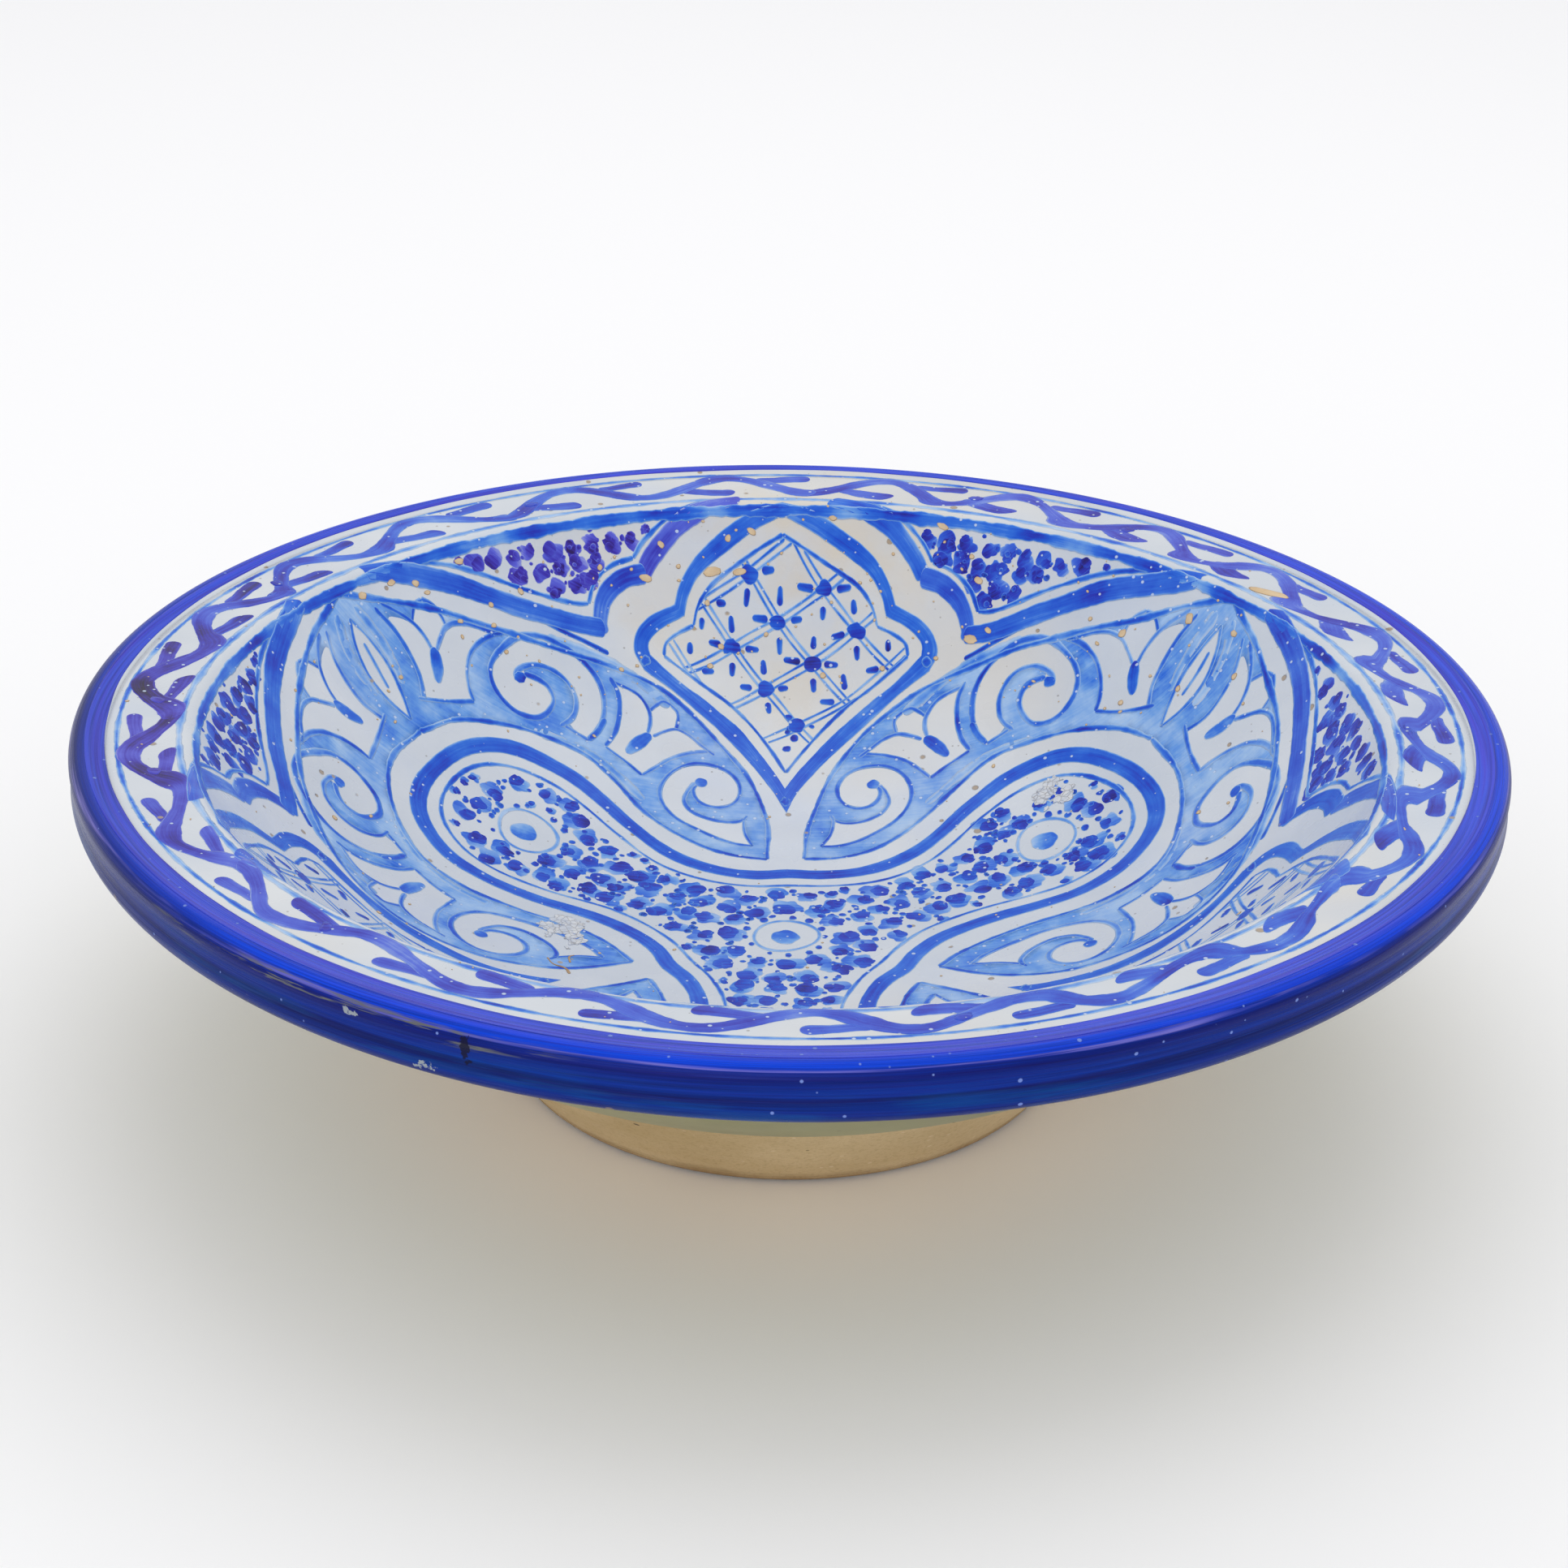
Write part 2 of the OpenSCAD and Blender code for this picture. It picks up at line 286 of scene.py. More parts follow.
def lathe(outline):
    """A closed ring, or a closed disc where the outline starts and ends on the axis."""
    r, z = np.asarray(outline, float).T
    if np.sum(r * np.roll(z, -1) - z * np.roll(r, -1)) > 0:
        outline = outline[::-1]
    a = np.arange(SEGMENTS) * 2 * math.pi / SEGMENTS
    rings = []
    verts = []
    for r, z in outline:
        if r < 1e-6:
            rings.append([len(verts)] * SEGMENTS)
            verts.append((0, 0, z))
        else:
            rings.append(list(range(len(verts), len(verts) + SEGMENTS)))
            verts.extend(np.column_stack([r * np.cos(a), r * np.sin(a), np.full(SEGMENTS, z)]).tolist())
    faces = []
    count = len(outline)
    for i in range(count):
        low, high = rings[i], rings[(i + 1) % count]
        if low[0] == low[1] and high[0] == high[1]:
            continue
        for k in range(SEGMENTS):
            m = (k + 1) % SEGMENTS
            faces.append(tuple(dict.fromkeys([low[k], high[k], high[m], low[m]])))
    return thrown(np.array(verts)), faces


class Paint:
    """Brushwork gathered into one mesh: closed thin slabs that follow the glazed face."""

    SINK = -0.3  # where a slab's underside lies, in mm above the face
    UNDER_LOAD = 0.1
    STROKES_APART = 7.3  # keeps the brush marks of one stroke unlike the next one's

    def __init__(self, seed):
        self.rng = np.random.default_rng(seed)
        self.verts = []
        self.faces = []
        self.smooth = []
        self.density = []
        self.tone = []
        self.stroke = []
        self.count = 0
        self.strokes = 0

    def _add(self, xyz, density, tone, stroke):
        start = self.count
        self.verts.append(xyz)
        self.density.append(density)
        self.tone.append(tone)
        self.stroke.append(stroke)
        self.count += len(xyz)
        return start

    def _face(self, *corners, top=False):
        self.faces.append(corners)
        self.smooth.append(top)

    def ribbon(self, path, width, lift=0.06, density=0.8, closed=False, tone=0.0, soft=0.35,
               taper=(1, 1), streak=0.12, uneven=0.06, rim=0.3, reach=None):
        """A brush stroke. width and density are numbers or one value for each point of the path."""
        path = np.asarray(path, float)
        if closed:
            path = np.concatenate([path, path[:1]])
        s = along(path)
        half = np.broadcast_to(np.asarray(width, float) / 2, s.shape).copy()
        half *= 1 + wave(self.rng, s, uneven, 26) + wave(self.rng, s, uneven * 0.5, 5)
        density = np.broadcast_to(np.asarray(density, float), s.shape).copy()
        density *= 1 + wave(self.rng, s, streak, 40)
        if closed:
            blend = np.clip((s[-1] - s) / 8, 0, 1)
            half = half[0] + (half - half[0]) * blend
            density = density[0] + (density - density[0]) * blend
        else:
            path, s, half, density = self._rounded(path, s, half, density, taper)
        step = np.gradient(path, axis=0)
        if closed:
            step[0] = step[-1] = path[1] - path[-2]
        normal = np.stack([-step[:, 1], step[:, 0]], -1)
        if reach is not None:
            side = np.sign(np.sum(normal * reach))
            normal = side * np.asarray(reach)
        normal /= np.maximum(np.linalg.norm(normal, axis=1), 1e-9)[:, None]
        edge = np.clip(1 - soft / np.maximum(half, 1e-3), 0.25, 0.92)
        one = np.ones_like(edge)
        across = np.stack([-one, -edge, -edge * 0.35, edge * 0.35, edge, one], 1)
        fade = np.array([rim, 0.92, 1.0, 1.0, 0.92, rim]) * (1 + self.rng.uniform(-0.06, 0.06, 6))
        rows, cols = across.shape
        xy = path[:, None, :] + normal[:, None, :] * (across * half[:, None])[:, :, None]
        top = on_face(xy.reshape(-1, 2), lift)
        under = on_face(xy[:, [0, -1]].reshape(-1, 2), self.SINK)
        self.strokes += 1
        mark = self.strokes * self.STROKES_APART
        sideways = (across * half[:, None]).ravel()
        lane = np.column_stack([np.repeat(s, cols), sideways, np.full(rows * cols, mark)])
        lane_under = np.column_stack([np.repeat(s, 2), np.zeros(rows * 2), np.full(rows * 2, mark)])
        load = np.concatenate([(density[:, None] * fade).ravel(), np.full(rows * 2, self.UNDER_LOAD)])
        tones = self._toned(tone, rows)
        a = self._add(np.concatenate([top, under]), load,
                      np.concatenate([np.repeat(tones, cols), np.repeat(tones, 2)]),
                      np.concatenate([lane, lane_under]))
        b = a + rows * cols
        last = rows - 1
        for i in range(last):
            j = 0 if closed and i == last - 1 else i + 1
            p, q = a + i * cols, a + j * cols
            u, v = b + 2 * i, b + 2 * j
            for c in range(cols - 1):
                self._face(p + c, q + c, q + c + 1, p + c + 1, top=True)
            self._face(q, p, u, v)
            self._face(p + cols - 1, q + cols - 1, v + 1, u + 1)
            self._face(v, u, u + 1, v + 1)
        if not closed:
            e, f = a + last * cols, b + 2 * last
            self._face(*[a + c for c in range(cols)], b + 1, b)
            self._face(*[e + c for c in range(cols)][::-1], f, f + 1)

    @staticmethod
    def _toned(tone, rows):
        """The tone along a stroke, from one value or from a few spread over its length."""
        tone = np.atleast_1d(np.asarray(tone, float))
        return np.interp(np.linspace(0, 1, rows), np.linspace(0, 1, len(tone)), tone)

    def _rounded(self, path, s, half, density, taper):
        """Round ends: extra points close to each end, where the width closes."""
        length = s[-1]
        cuts = []
        for end, amount in zip((0, 1), taper):
            reach = min(half[0 if end == 0 else -1] * amount, length * 0.45)
            near = reach * np.array([0, 0.04, 0.14, 0.32, 0.6, 1.0])
            cuts.append(near if end == 0 else length - near[::-1])
        inner = s[(s > cuts[0][-1] + 0.2) & (s < cuts[1][0] - 0.2)]
        at = np.concatenate([cuts[0], inner, cuts[1]])
        path = np.stack([np.interp(at, s, path[:, 0]), np.interp(at, s, path[:, 1])], -1)
        half = np.interp(at, s, half)
        density = np.interp(at, s, density)
        for end in (0, 1):
            reach = max(cuts[0][-1] if end == 0 else length - cuts[1][0], 1e-6)
            d = np.clip((at if end == 0 else length - at) / reach, 0, 1)
            half = half * np.sqrt(np.maximum(1 - (1 - d) ** 2, 0.0004))
        return path, at, half, density

    def blot(self, centre, radius, lift=0.05, density=(0.6, 1.1), lean=0.0, squash=1.0, turn=0.0,
             rough=0.16, points=22, tone=0.0, soft=0.3, rim=0.3):
        """A dab of colour: an uneven round, denser towards one side."""
        a = np.arange(points) * 2 * math.pi / points
        r = np.ones(points)
        for k in (2, 3, 4, 5, 7):
            r += rough * self.rng.normal(0, 0.55) / math.sqrt(k) * np.cos(k * a + self.rng.uniform(0, 6.3))
        r = np.clip(r, 0.55, 1.6) * radius
        rings = (1.0, max(0.55, 1 - soft / radius), 0.45)
        weights = (rim, 0.95, 1.0)
        xy = [np.array([[0.0, 0.0]])]
        d = [np.array([0.5 * (density[0] + density[1])])]
        heading = towards(lean)
        unit = np.stack([np.cos(a), np.sin(a)], -1)
        for share, weight in zip(rings, weights):
            ring = unit * (r * share)[:, None]
            side = 0.5 + 0.5 * np.clip(ring @ heading / radius, -1, 1)
            xy.append(ring)
            d.append(weight * (density[0] + (density[1] - density[0]) * side))
        local = np.concatenate(xy)
        local[:, 0] *= squash
        local = turned(local, turn)
        distance = max(np.hypot(*centre), 1e-6)
        out = np.asarray(centre) / distance
        local -= (1 - steepness(distance)) * (local @ out)[:, None] * out
        top = on_face(local + np.asarray(centre), lift)
        under = on_face(local[1:points + 1] + np.asarray(centre), self.SINK)
        self.strokes += 1
        lane = np.column_stack([np.concatenate([local, local[1:points + 1]]),
                                np.full(len(local) + points, self.strokes * self.STROKES_APART)])
        c = self._add(np.concatenate([top, under]), np.concatenate([*d, np.full(points, self.UNDER_LOAD)]),
                      np.full(len(lane), tone), lane)
        outer, mid, inner, low = (c + 1 + k * points for k in range(4))
        for k in range(points):
            m = (k + 1) % points
            self._face(c, inner + k, inner + m, top=True)
            self._face(inner + k, mid + k, mid + m, inner + m, top=True)
            self._face(mid + k, outer + k, outer + m, mid + m, top=True)
            self._face(outer + k, low + k, low + m, outer + m)
        self._face(*[low + k for k in range(points)][::-1])

    def fill(self, loop, holes, lift, density, step, shade):
        """The area inside loop and outside the holes, as a wash. shade gives its unevenness over the plan."""
        edges = []
        points = []
        for line in (loop, *holes):
            start = len(points)
            points.extend(map(tuple, line))
            edges.extend((start + i, start + (i + 1) % len(line)) for i in range(len(line)))
        flat = np.array(points)
        low, high = flat.min(0), flat.max(0)
        columns = np.arange(low[0], high[0], step)
        lines = np.arange(low[1], high[1], step)
        grid = np.stack(np.meshgrid(columns, lines), -1).reshape(-1, 2)
        grid += self.rng.uniform(-0.3, 0.3, grid.shape) * step
        grid = grid[washed(grid, loop, holes)]
        clear = (0.4 * step) ** 2
        grid = np.array([g for g in grid if np.min(np.sum((flat - g) ** 2, axis=1)) > clear])
        verts = [Vector(p) for p in points] + [Vector(g) for g in grid]
        out, _, faces, _, _, _ = delaunay_2d_cdt(verts, edges, [], 0, 1e-5)
        out = np.array([tuple(v) for v in out])
        faces = np.array([f for f in faces if len(f) == 3])
        faces = faces[washed(out[faces].mean(axis=1), loop, holes)]
        a, b, c = (out[faces[:, k]] for k in range(3))
        area = (b[:, 0] - a[:, 0]) * (c[:, 1] - a[:, 1]) - (b[:, 1] - a[:, 1]) * (c[:, 0] - a[:, 0])
        faces = np.where(area[:, None] > 0, faces, faces[:, ::-1])[np.abs(area) > 1e-7]
        sides = {(f[k], f[(k + 1) % 3]) for f in faces.tolist() for k in range(3)}
        rim = sorted(e for e in sides if (e[1], e[0]) not in sides)
        used = sorted(set(faces.ravel().tolist()))
        index = {v: i for i, v in enumerate(used)}
        xy = out[used]
        count = len(xy)
        value = density * shade(xy)
        self.strokes += 1
        lane = np.column_stack([xy, np.full(count, self.strokes * self.STROKES_APART)])
        a = self._add(np.concatenate([on_face(xy, lift), on_face(xy, self.SINK)]),
                      np.concatenate([value, value]), np.zeros(2 * count), np.concatenate([lane, lane]))
        for f in faces.tolist():
            p, q, r = (a + index[v] for v in f)
            self._face(p, q, r, top=True)
            self._face(r + count, q + count, p + count)
        for u, v in rim:
            p, q = a + index[u], a + index[v]
            self._face(q, p, p + count, q + count)

    def piece(self, name, material, slot, nodes=()):
        attributes = {
            "load": np.concatenate(self.density),
            "tone": np.concatenate(self.tone),
            "stroke": np.concatenate(self.stroke),
        }
        return add_piece(name, np.concatenate(self.verts), self.faces, material, slot, nodes, attributes,
                         self.smooth)


def inside(p, loops):
    """True for the points that lie inside an odd number of the loops."""
    p = np.asarray(p, float)
    odd = np.zeros(len(p), bool)
    for loop in loops:
        a = np.asarray(loop, float)
        b = np.roll(a, -1, axis=0)
        for (x0, y0), (x1, y1) in zip(a, b):
            if y0 == y1:
                continue
            hit = ((p[:, 1] < y0) != (p[:, 1] < y1))
            hit &= p[:, 0] < (x1 - x0) * (p[:, 1] - y0) / (y1 - y0) + x0
            odd ^= hit
    return odd


def washed(p, loop, holes):
    keep = inside(p, [loop])
    for hole in holes:
        keep &= ~inside(p, [hole])
    return keep


# Looks

def srgb(*rgb):
    parts = [c / 255 for c in rgb]
    return tuple(c / 12.92 if c <= 0.04045 else ((c + 0.055) / 1.055) ** 2.4 for c in parts) + (1.0,)


class Look:
    """A material made of nodes. A value given to a node is a number, a colour or another node's output."""

    def __init__(self, name):
        self.material = bpy.data.materials.new(name)
        self.material.use_nodes = True
        self.tree = self.material.node_tree
        self.tree.nodes.clear()
        self.bsdf = self.tree.nodes.new("ShaderNodeBsdfPrincipled")
        out = self.tree.nodes.new("ShaderNodeOutputMaterial")
        self.tree.links.new(self.bsdf.outputs[0], out.inputs[0])
        self.place = self.node("ShaderNodeTexCoord").outputs["Object"]

    def put(self, socket, value):
        if isinstance(value, bpy.types.NodeSocket):
            self.tree.links.new(value, socket)
        else:
            socket.default_value = value

    def node(self, kind, inputs=None, **settings):
        made = self.tree.nodes.new(kind)
        for key, value in settings.items():
            setattr(made, key, value)
        for key, value in (inputs or {}).items():
            self.put(made.inputs[key], value)
        return made

    def math(self, operation, a, b=0.0, clamp=False):
        return self.node("ShaderNodeMath", {0: a, 1: b}, operation=operation, use_clamp=clamp).outputs[0]

    def times(self, a, b, clamp=False):
        return self.math("MULTIPLY", a, b, clamp)

    def plus(self, a, b, clamp=False):
        return self.math("ADD", a, b, clamp)

    def vector(self, operation, a, b, output=0):
        return self.node("ShaderNodeVectorMath", {0: a, 1: b}, operation=operation).outputs[output]

    def spread(self, value, low, high, to_low=0.0, to_high=1.0):
        inputs = {"Value": value, "From Min": low, "From Max": high, "To Min": to_low, "To Max": to_high}
        return self.node("ShaderNodeMapRange", inputs).outputs[0]

    def noise(self, scale, detail=3.0, rough=0.55, at=None):
        inputs = {"Vector": at or self.place, "Scale": scale, "Detail": detail, "Roughness": rough}
        return self.node("ShaderNodeTexNoise", inputs).outputs[0]

    def varied(self, low, high, *noise):
        """A value that wanders from low to high."""
        return self.spread(self.noise(*noise), 0.3, 0.7, low, high)

    def patches(self, start, full, most, *noise):
        """0 in most places, rising to most where the noise passes start."""
        return self.spread(self.noise(*noise), start, full, 0, most)

    def about(self, value, middle, core, reach):
        """1 where the value is within core of the middle, falling to 0 at reach."""
        return self.spread(self.math("ABSOLUTE", self.math("SUBTRACT", value, middle)), core, reach, 1, 0)

    def mix(self, factor, a, b):
        return self.node("ShaderNodeMix", {0: factor, 6: a, 7: b}, data_type="RGBA").outputs[2]

    def between(self, factor, a, b):
        """One colour for low values and another for high ones."""
        return self.mix(self.spread(factor, 0.3, 0.7), srgb(*a), srgb(*b))

    def tint(self, colour, factor, *rgb):
        return self.mix(factor, colour, srgb(*rgb))

    def ramp(self, factor, stops):
        made = self.node("ShaderNodeValToRGB", {"Fac": factor})
        points = made.color_ramp.elements
        points.remove(points[1])
        points[0].position, points[0].color = stops[0][0], srgb(*stops[0][1])
        for position, rgb in stops[1:]:
            points.new(position).color = srgb(*rgb)
        return made.outputs[0]

    def specks(self, scale, share, size):
        """Small round spots in some of the cells of a scattered grid, 1 inside them."""
        cell = self.node("ShaderNodeTexVoronoi", {"Vector": self.place, "Scale": scale})
        pick = self.node("ShaderNodeSeparateColor", {0: cell.outputs["Color"]})
        chosen = self.math("LESS_THAN", pick.outputs[0], share)
        radius = self.spread(pick.outputs[1], 0, 1, size * 0.4, size)
        near = self.math("SUBTRACT", radius, cell.outputs["Distance"])
        return self.times(self.spread(near, 0, size * 0.25), chosen)

    def turning(self, across, along, detail=3, rough=0.6):
        """Noise drawn out round the wheel's axis, for marks left by turning."""
        x, y, z = self.node("ShaderNodeSeparateXYZ", {0: self.place}).outputs
        r = self.math("SQRT", self.plus(self.times(x, x), self.times(y, y)))
        high = self.times(self.math("SUBTRACT", z, r), across)
        inputs = {0: self.times(x, along), 1: self.times(y, along), 2: high}
        return self.noise(1.0, detail, rough, self.node("ShaderNodeCombineXYZ", inputs).outputs[0])

    def near(self, x, y, z, reach, tall=1.0):
        """1 at a point in mm, falling to 0 at reach mm from it, or tall times that above and below."""
        place = self.vector("MULTIPLY", self.place, (1, 1, 1 / tall))
        away = self.vector("DISTANCE", place, (x * MM, y * MM, z * MM / tall), "Value")
        return self.spread(away, 0, reach * MM, 1, 0)

    def torn(self, spot, scale):
        """A patch with a ragged edge round the middle of a spot."""
        ragged = self.spread(self.noise(scale, 3, 0.7), 0.2, 0.8, -0.75, 0.35)
        return self.spread(self.plus(spot, ragged), 0.42, 0.5)

    def value(self, name):
        return self.node("ShaderNodeAttribute", attribute_name=name).outputs["Fac"]

    def finish(self, colour, rough, relief=(), specular=0.5):
        """relief is a list of (height, distance in mm), the finest last."""
        self.put(self.bsdf.inputs["Base Color"], colour)
        self.put(self.bsdf.inputs["Roughness"], rough)
        self.bsdf.inputs["Specular IOR Level"].default_value = specular
        normal = None
        for height, distance in relief:
            inputs = {"Height": height, "Distance": distance * MM, "Strength": 1.0}
            if normal is not None:
                inputs["Normal"] = normal
            normal = self.node("ShaderNodeBump", inputs).outputs[0]
        if normal is not None:
            self.put(self.bsdf.inputs["Normal"], normal)
        return self.material


def glaze_ground(look):
    """The tin-white ground's colour, used wherever the white glaze shows."""
    white = look.between(look.noise(16, 4, 0.6), (194, 201, 209), (214, 218, 221))
    warm = look.patches(0.52, 0.72, 0.42, 7, 3, 0.6)
    stain = look.times(look.near(0, 135, 75, 90), look.patches(0.4, 0.65, 1, 30, 4, 0.6))
    white = look.tint(white, look.math("MAXIMUM", warm, look.times(stain, 0.95)), 212, 200, 178)
    white = look.tint(white, look.patches(0.55, 0.8, 0.3, 23, 2, 0.5), 178, 194, 222)
    white = look.tint(white, look.times(look.specks(210, 0.09, 0.26), 0.75), 150, 122, 84)
    return look.tint(white, look.times(look.specks(640, 0.05, 0.3), 0.5), 120, 112, 104)


def white_glaze():
    look = Look("white_tin_glaze")
    pits = look.times(look.specks(210, 0.09, 0.26), -1.0)
    relief = [(look.noise(40, 2, 0.5), 0.5), (pits, 0.25), (look.noise(420, 2, 0.5), 0.03)]
    return look.finish(glaze_ground(look), look.varied(0.2, 0.34, 60, 3), relief, 0.4)


# Colour of the ink by its density, from a trace to a pool, in pure cobalt and where it turned violet
INK = [(0, (206, 214, 224)), (0.13, (160, 192, 228)), (0.25, (104, 156, 222)), (0.38, (44, 110, 214)),
       (0.52, (20, 82, 202)), (0.66, (28, 48, 176)), (0.82, (26, 26, 124)), (1, (20, 12, 62))]
VIOLET_INK = [(0, (206, 210, 226)), (0.4, (98, 92, 206)), (0.62, (66, 46, 168)), (0.8, (48, 22, 104)),
              (1, (30, 12, 46))]
FULL_LOAD = 1.4


def ink(name, streak, pinholes, mottle=0.13):
    look = Look(name)
    density = look.value("load")
    lane = look.node("ShaderNodeAttribute", attribute_name="stroke").outputs["Vector"]
    drawn = look.vector("MULTIPLY", lane, (0.035, 0.9, 1.0))
    factor = look.plus(look.varied(1 - streak, 1 + streak, 1.6, 3, 0.6, drawn),
                       look.varied(-mottle, mottle, 150, 3, 0.6))
    factor = look.times(factor, look.varied(0.9, 1.1, 38, 2, 0.5))
    level = look.times(look.times(density, factor), 1 / FULL_LOAD)
    tone = look.plus(look.value("tone"), look.patches(0.5, 0.75, 0.12, 20, 2), True)
    colour = look.mix(tone, look.ramp(level, INK), look.ramp(level, VIOLET_INK))
    holes = look.times(look.specks(430, pinholes, 0.27), 0.85)
    colour = look.tint(colour, holes, 196, 212, 236)
    colour = look.tint(colour, look.times(look.specks(190, 0.03, 0.2), 0.8), 170, 150, 118)
    relief = [(look.noise(40, 2, 0.5), 0.5), (look.times(holes, -1.0), 0.15), (look.noise(420, 2, 0.5), 0.03)]
    return look.finish(colour, look.varied(0.18, 0.32, 70, 3), relief, 0.2)


# Colour of the lip by the share of the way from the band's inner edge round to the lip's lowest point
# The bright azure on the crest is partly thin glaze and partly a painted highlight; the dark outer face and
# its dark lower edge are partly thick glaze and partly painted shade.
LIP = [(0, (72, 88, 214)), (0.13, (58, 82, 216)), (0.2, (34, 74, 220)), (0.27, (6, 70, 222)),
       (0.31, (8, 62, 208)), (0.36, (2, 40, 146)), (0.42, (3, 20, 102)), (0.5, (1, 34, 124)),
       (0.58, (1, 46, 142)), (0.64, (2, 20, 88)), (0.72, (1, 42, 130)), (0.84, (1, 36, 114)),
       (0.94, (4, 26, 88)), (1, (40, 62, 96))]


def lip_glaze():
    """Cobalt over the rim: violet-blue on top, bright on the crest (thin glaze and painted highlight), dark
    on the outer face (thick glaze and painted shade).
    """
    look = Look("cobalt_lip_glaze")
    run = look.value("run")
    fine_marks = look.turning(1900, 16, 4, 0.65)
    broad_marks = look.turning(520, 9)
    shift = look.plus(run, look.spread(broad_marks, 0.3, 0.7, -0.035, 0.035))
    body = look.tint(look.ramp(shift, LIP), look.spread(fine_marks, 0.42, 0.7, 0, 0.6), 3, 10, 72)
    violet = look.times(look.spread(look.turning(700, 12), 0.45, 0.7), look.spread(run, 0.16, 0.3, 0.5, 0.06))
    body = look.tint(body, violet, 74, 44, 190)
    body = look.tint(body, look.spread(look.turning(2600, 26, 4, 0.7), 0.6, 0.85, 0, 0.4), 22, 92, 214)
    left = look.times(look.near(-182, -20, 92, 140), look.spread(run, 0.1, 0.3, 0.1, 1.2), True)
    body = look.tint(body, left, 5, 26, 100)
    # Painted highlight: a pale, broken line along the crest's edge.
    crest_highlight = look.times(look.about(shift, 0.345, 0, 0.022),
                           look.spread(look.turning(300, 22), 0.36, 0.6, 0, 0.62))
    body = look.tint(body, crest_highlight, 140, 132, 212)
    scuffs = look.times(look.spread(look.turning(500, 34, 4, 0.7), 0.5, 0.64),
                        look.about(run, 0.41, 0.03, 0.1))
    scuffed = look.math("MAXIMUM", look.near(-108, -144, 95, 58), look.near(-74, -164, 95, 34))
    body = look.tint(body, look.times(look.times(scuffs, scuffed), 2.6, True), 96, 98, 100)
    teal = look.times(look.spread(look.turning(260, 26), 0.5, 0.72), look.spread(run, 0.45, 0.7, 0, 0.5))
    body = look.tint(body, teal, 4, 78, 146)
    chips = look.math("MAXIMUM", look.torn(look.near(-92, -154.7, 93, 4.2, 0.6), 420),
                      look.torn(look.near(-75.4, -163.5, 85.5, 6.5, 0.4), 380))
    body = look.tint(body, chips, 142, 150, 158)
    knock = look.torn(look.near(-67, -167, 92, 3.0, 3.4), 420)
    body = look.tint(body, look.times(knock, 0.9), 14, 14, 40)
    holes = look.times(look.specks(330, 0.2, 0.2), 0.8)
    body = look.tint(body, holes, 120, 144, 216)
    body = look.tint(body, look.times(look.specks(110, 0.06, 0.14), 0.9), 110, 100, 104)
    colour = look.mix(look.value("bare"), body, glaze_ground(look))
    relief = [(broad_marks, 0.3), (fine_marks, 0.09), (look.times(holes, -1.0), 0.12)]
    return look.finish(colour, look.spread(look.turning(1400, 16), 0.3, 0.7, 0.2, 0.36), relief, 0.09)


def underside_glaze():
    look = Look("underside_glaze")
    cloud = look.noise(24, 4, 0.6)
    runs = look.turning(260, 12)
    colour = look.between(cloud, (120, 120, 78), (152, 151, 110))
    colour = look.tint(colour, look.spread(runs, 0.45, 0.75, 0, 0.5), 166, 162, 132)
    colour = look.tint(colour, look.patches(0.5, 0.75, 0.4, 9, 2), 98, 104, 92)
    colour = look.tint(colour, look.times(look.specks(240, 0.12, 0.24), 0.6), 84, 70, 44)
    relief = [(runs, 0.35), (look.noise(300, 3), 0.05)]
    return look.finish(colour, look.spread(cloud, 0.3, 0.7, 0.3, 0.45), relief)


def bare_clay():
    look = Look("bare_clay")
    cloud = look.noise(20, 5, 0.65)
    turning = look.turning(900, 9, 4)
    grain = look.noise(900, 3, 0.7)
    colour = look.between(cloud, (186, 160, 114), (212, 188, 146))
    colour = look.tint(colour, look.spread(turning, 0.4, 0.75, 0, 0.45), 210, 188, 150)
    colour = look.tint(colour, look.spread(grain, 0.5, 0.75, 0, 0.4), 146, 114, 76)
    colour = look.tint(colour, look.times(look.specks(170, 0.24, 0.2), 0.85), 74, 56, 38)
    colour = look.tint(colour, look.times(look.specks(420, 0.12, 0.3), 0.5), 226, 206, 176)
    height = look.node("ShaderNodeSeparateXYZ", {0: look.place}).outputs[2]
    ragged = look.plus(height, look.spread(cloud, 0.3, 0.7, -0.0012, 0.0012))
    colour = look.tint(colour, look.spread(ragged, 0.0, 0.0035, 0.75, 0), 118, 84, 44)
    pits = look.times(look.specks(170, 0.14, 0.2), -1.0)
    relief = [(turning, 0.35), (cloud, 0.3), (grain, 0.1), (pits, 0.25)]
    return look.finish(colour, look.spread(grain, 0.3, 0.7, 0.78, 0.95), relief)


def bare_spot():
    """Body clay showing in a pit of the glaze, browner at its rim."""
    look = Look("bare_spot")
    grain = look.noise(520, 3, 0.6)
    colour = look.mix(look.spread(look.value("load"), 0.1, 1.0), srgb(158, 122, 80), srgb(222, 198, 160))
    colour = look.tint(colour, look.spread(grain, 0.4, 0.7, 0, 0.5), 204, 172, 128)
    return look.finish(colour, look.spread(grain, 0.3, 0.7, 0.5, 0.75), [(grain, 0.12)])


def flaked_glaze():
    look = Look("flaked_glaze")
    inputs = {"Vector": look.place, "Scale": 620.0}
    crack = look.node("ShaderNodeTexVoronoi", inputs, feature="DISTANCE_TO_EDGE").outputs["Distance"]
    grain = look.noise(480, 4, 0.65)
    colour = look.mix(look.spread(grain, 0.35, 0.7), srgb(188, 196, 208), srgb(224, 224, 220))
    colour = look.tint(colour, look.spread(crack, 0.0, 0.09, 0.7, 0), 120, 116, 116)
    colour = look.tint(colour, look.spread(look.value("load"), 0.1, 0.5, 0.5, 0), 160, 172, 200)
    return look.finish(colour, look.spread(grain, 0.3, 0.7, 0.4, 0.7), [(grain, 0.2)])


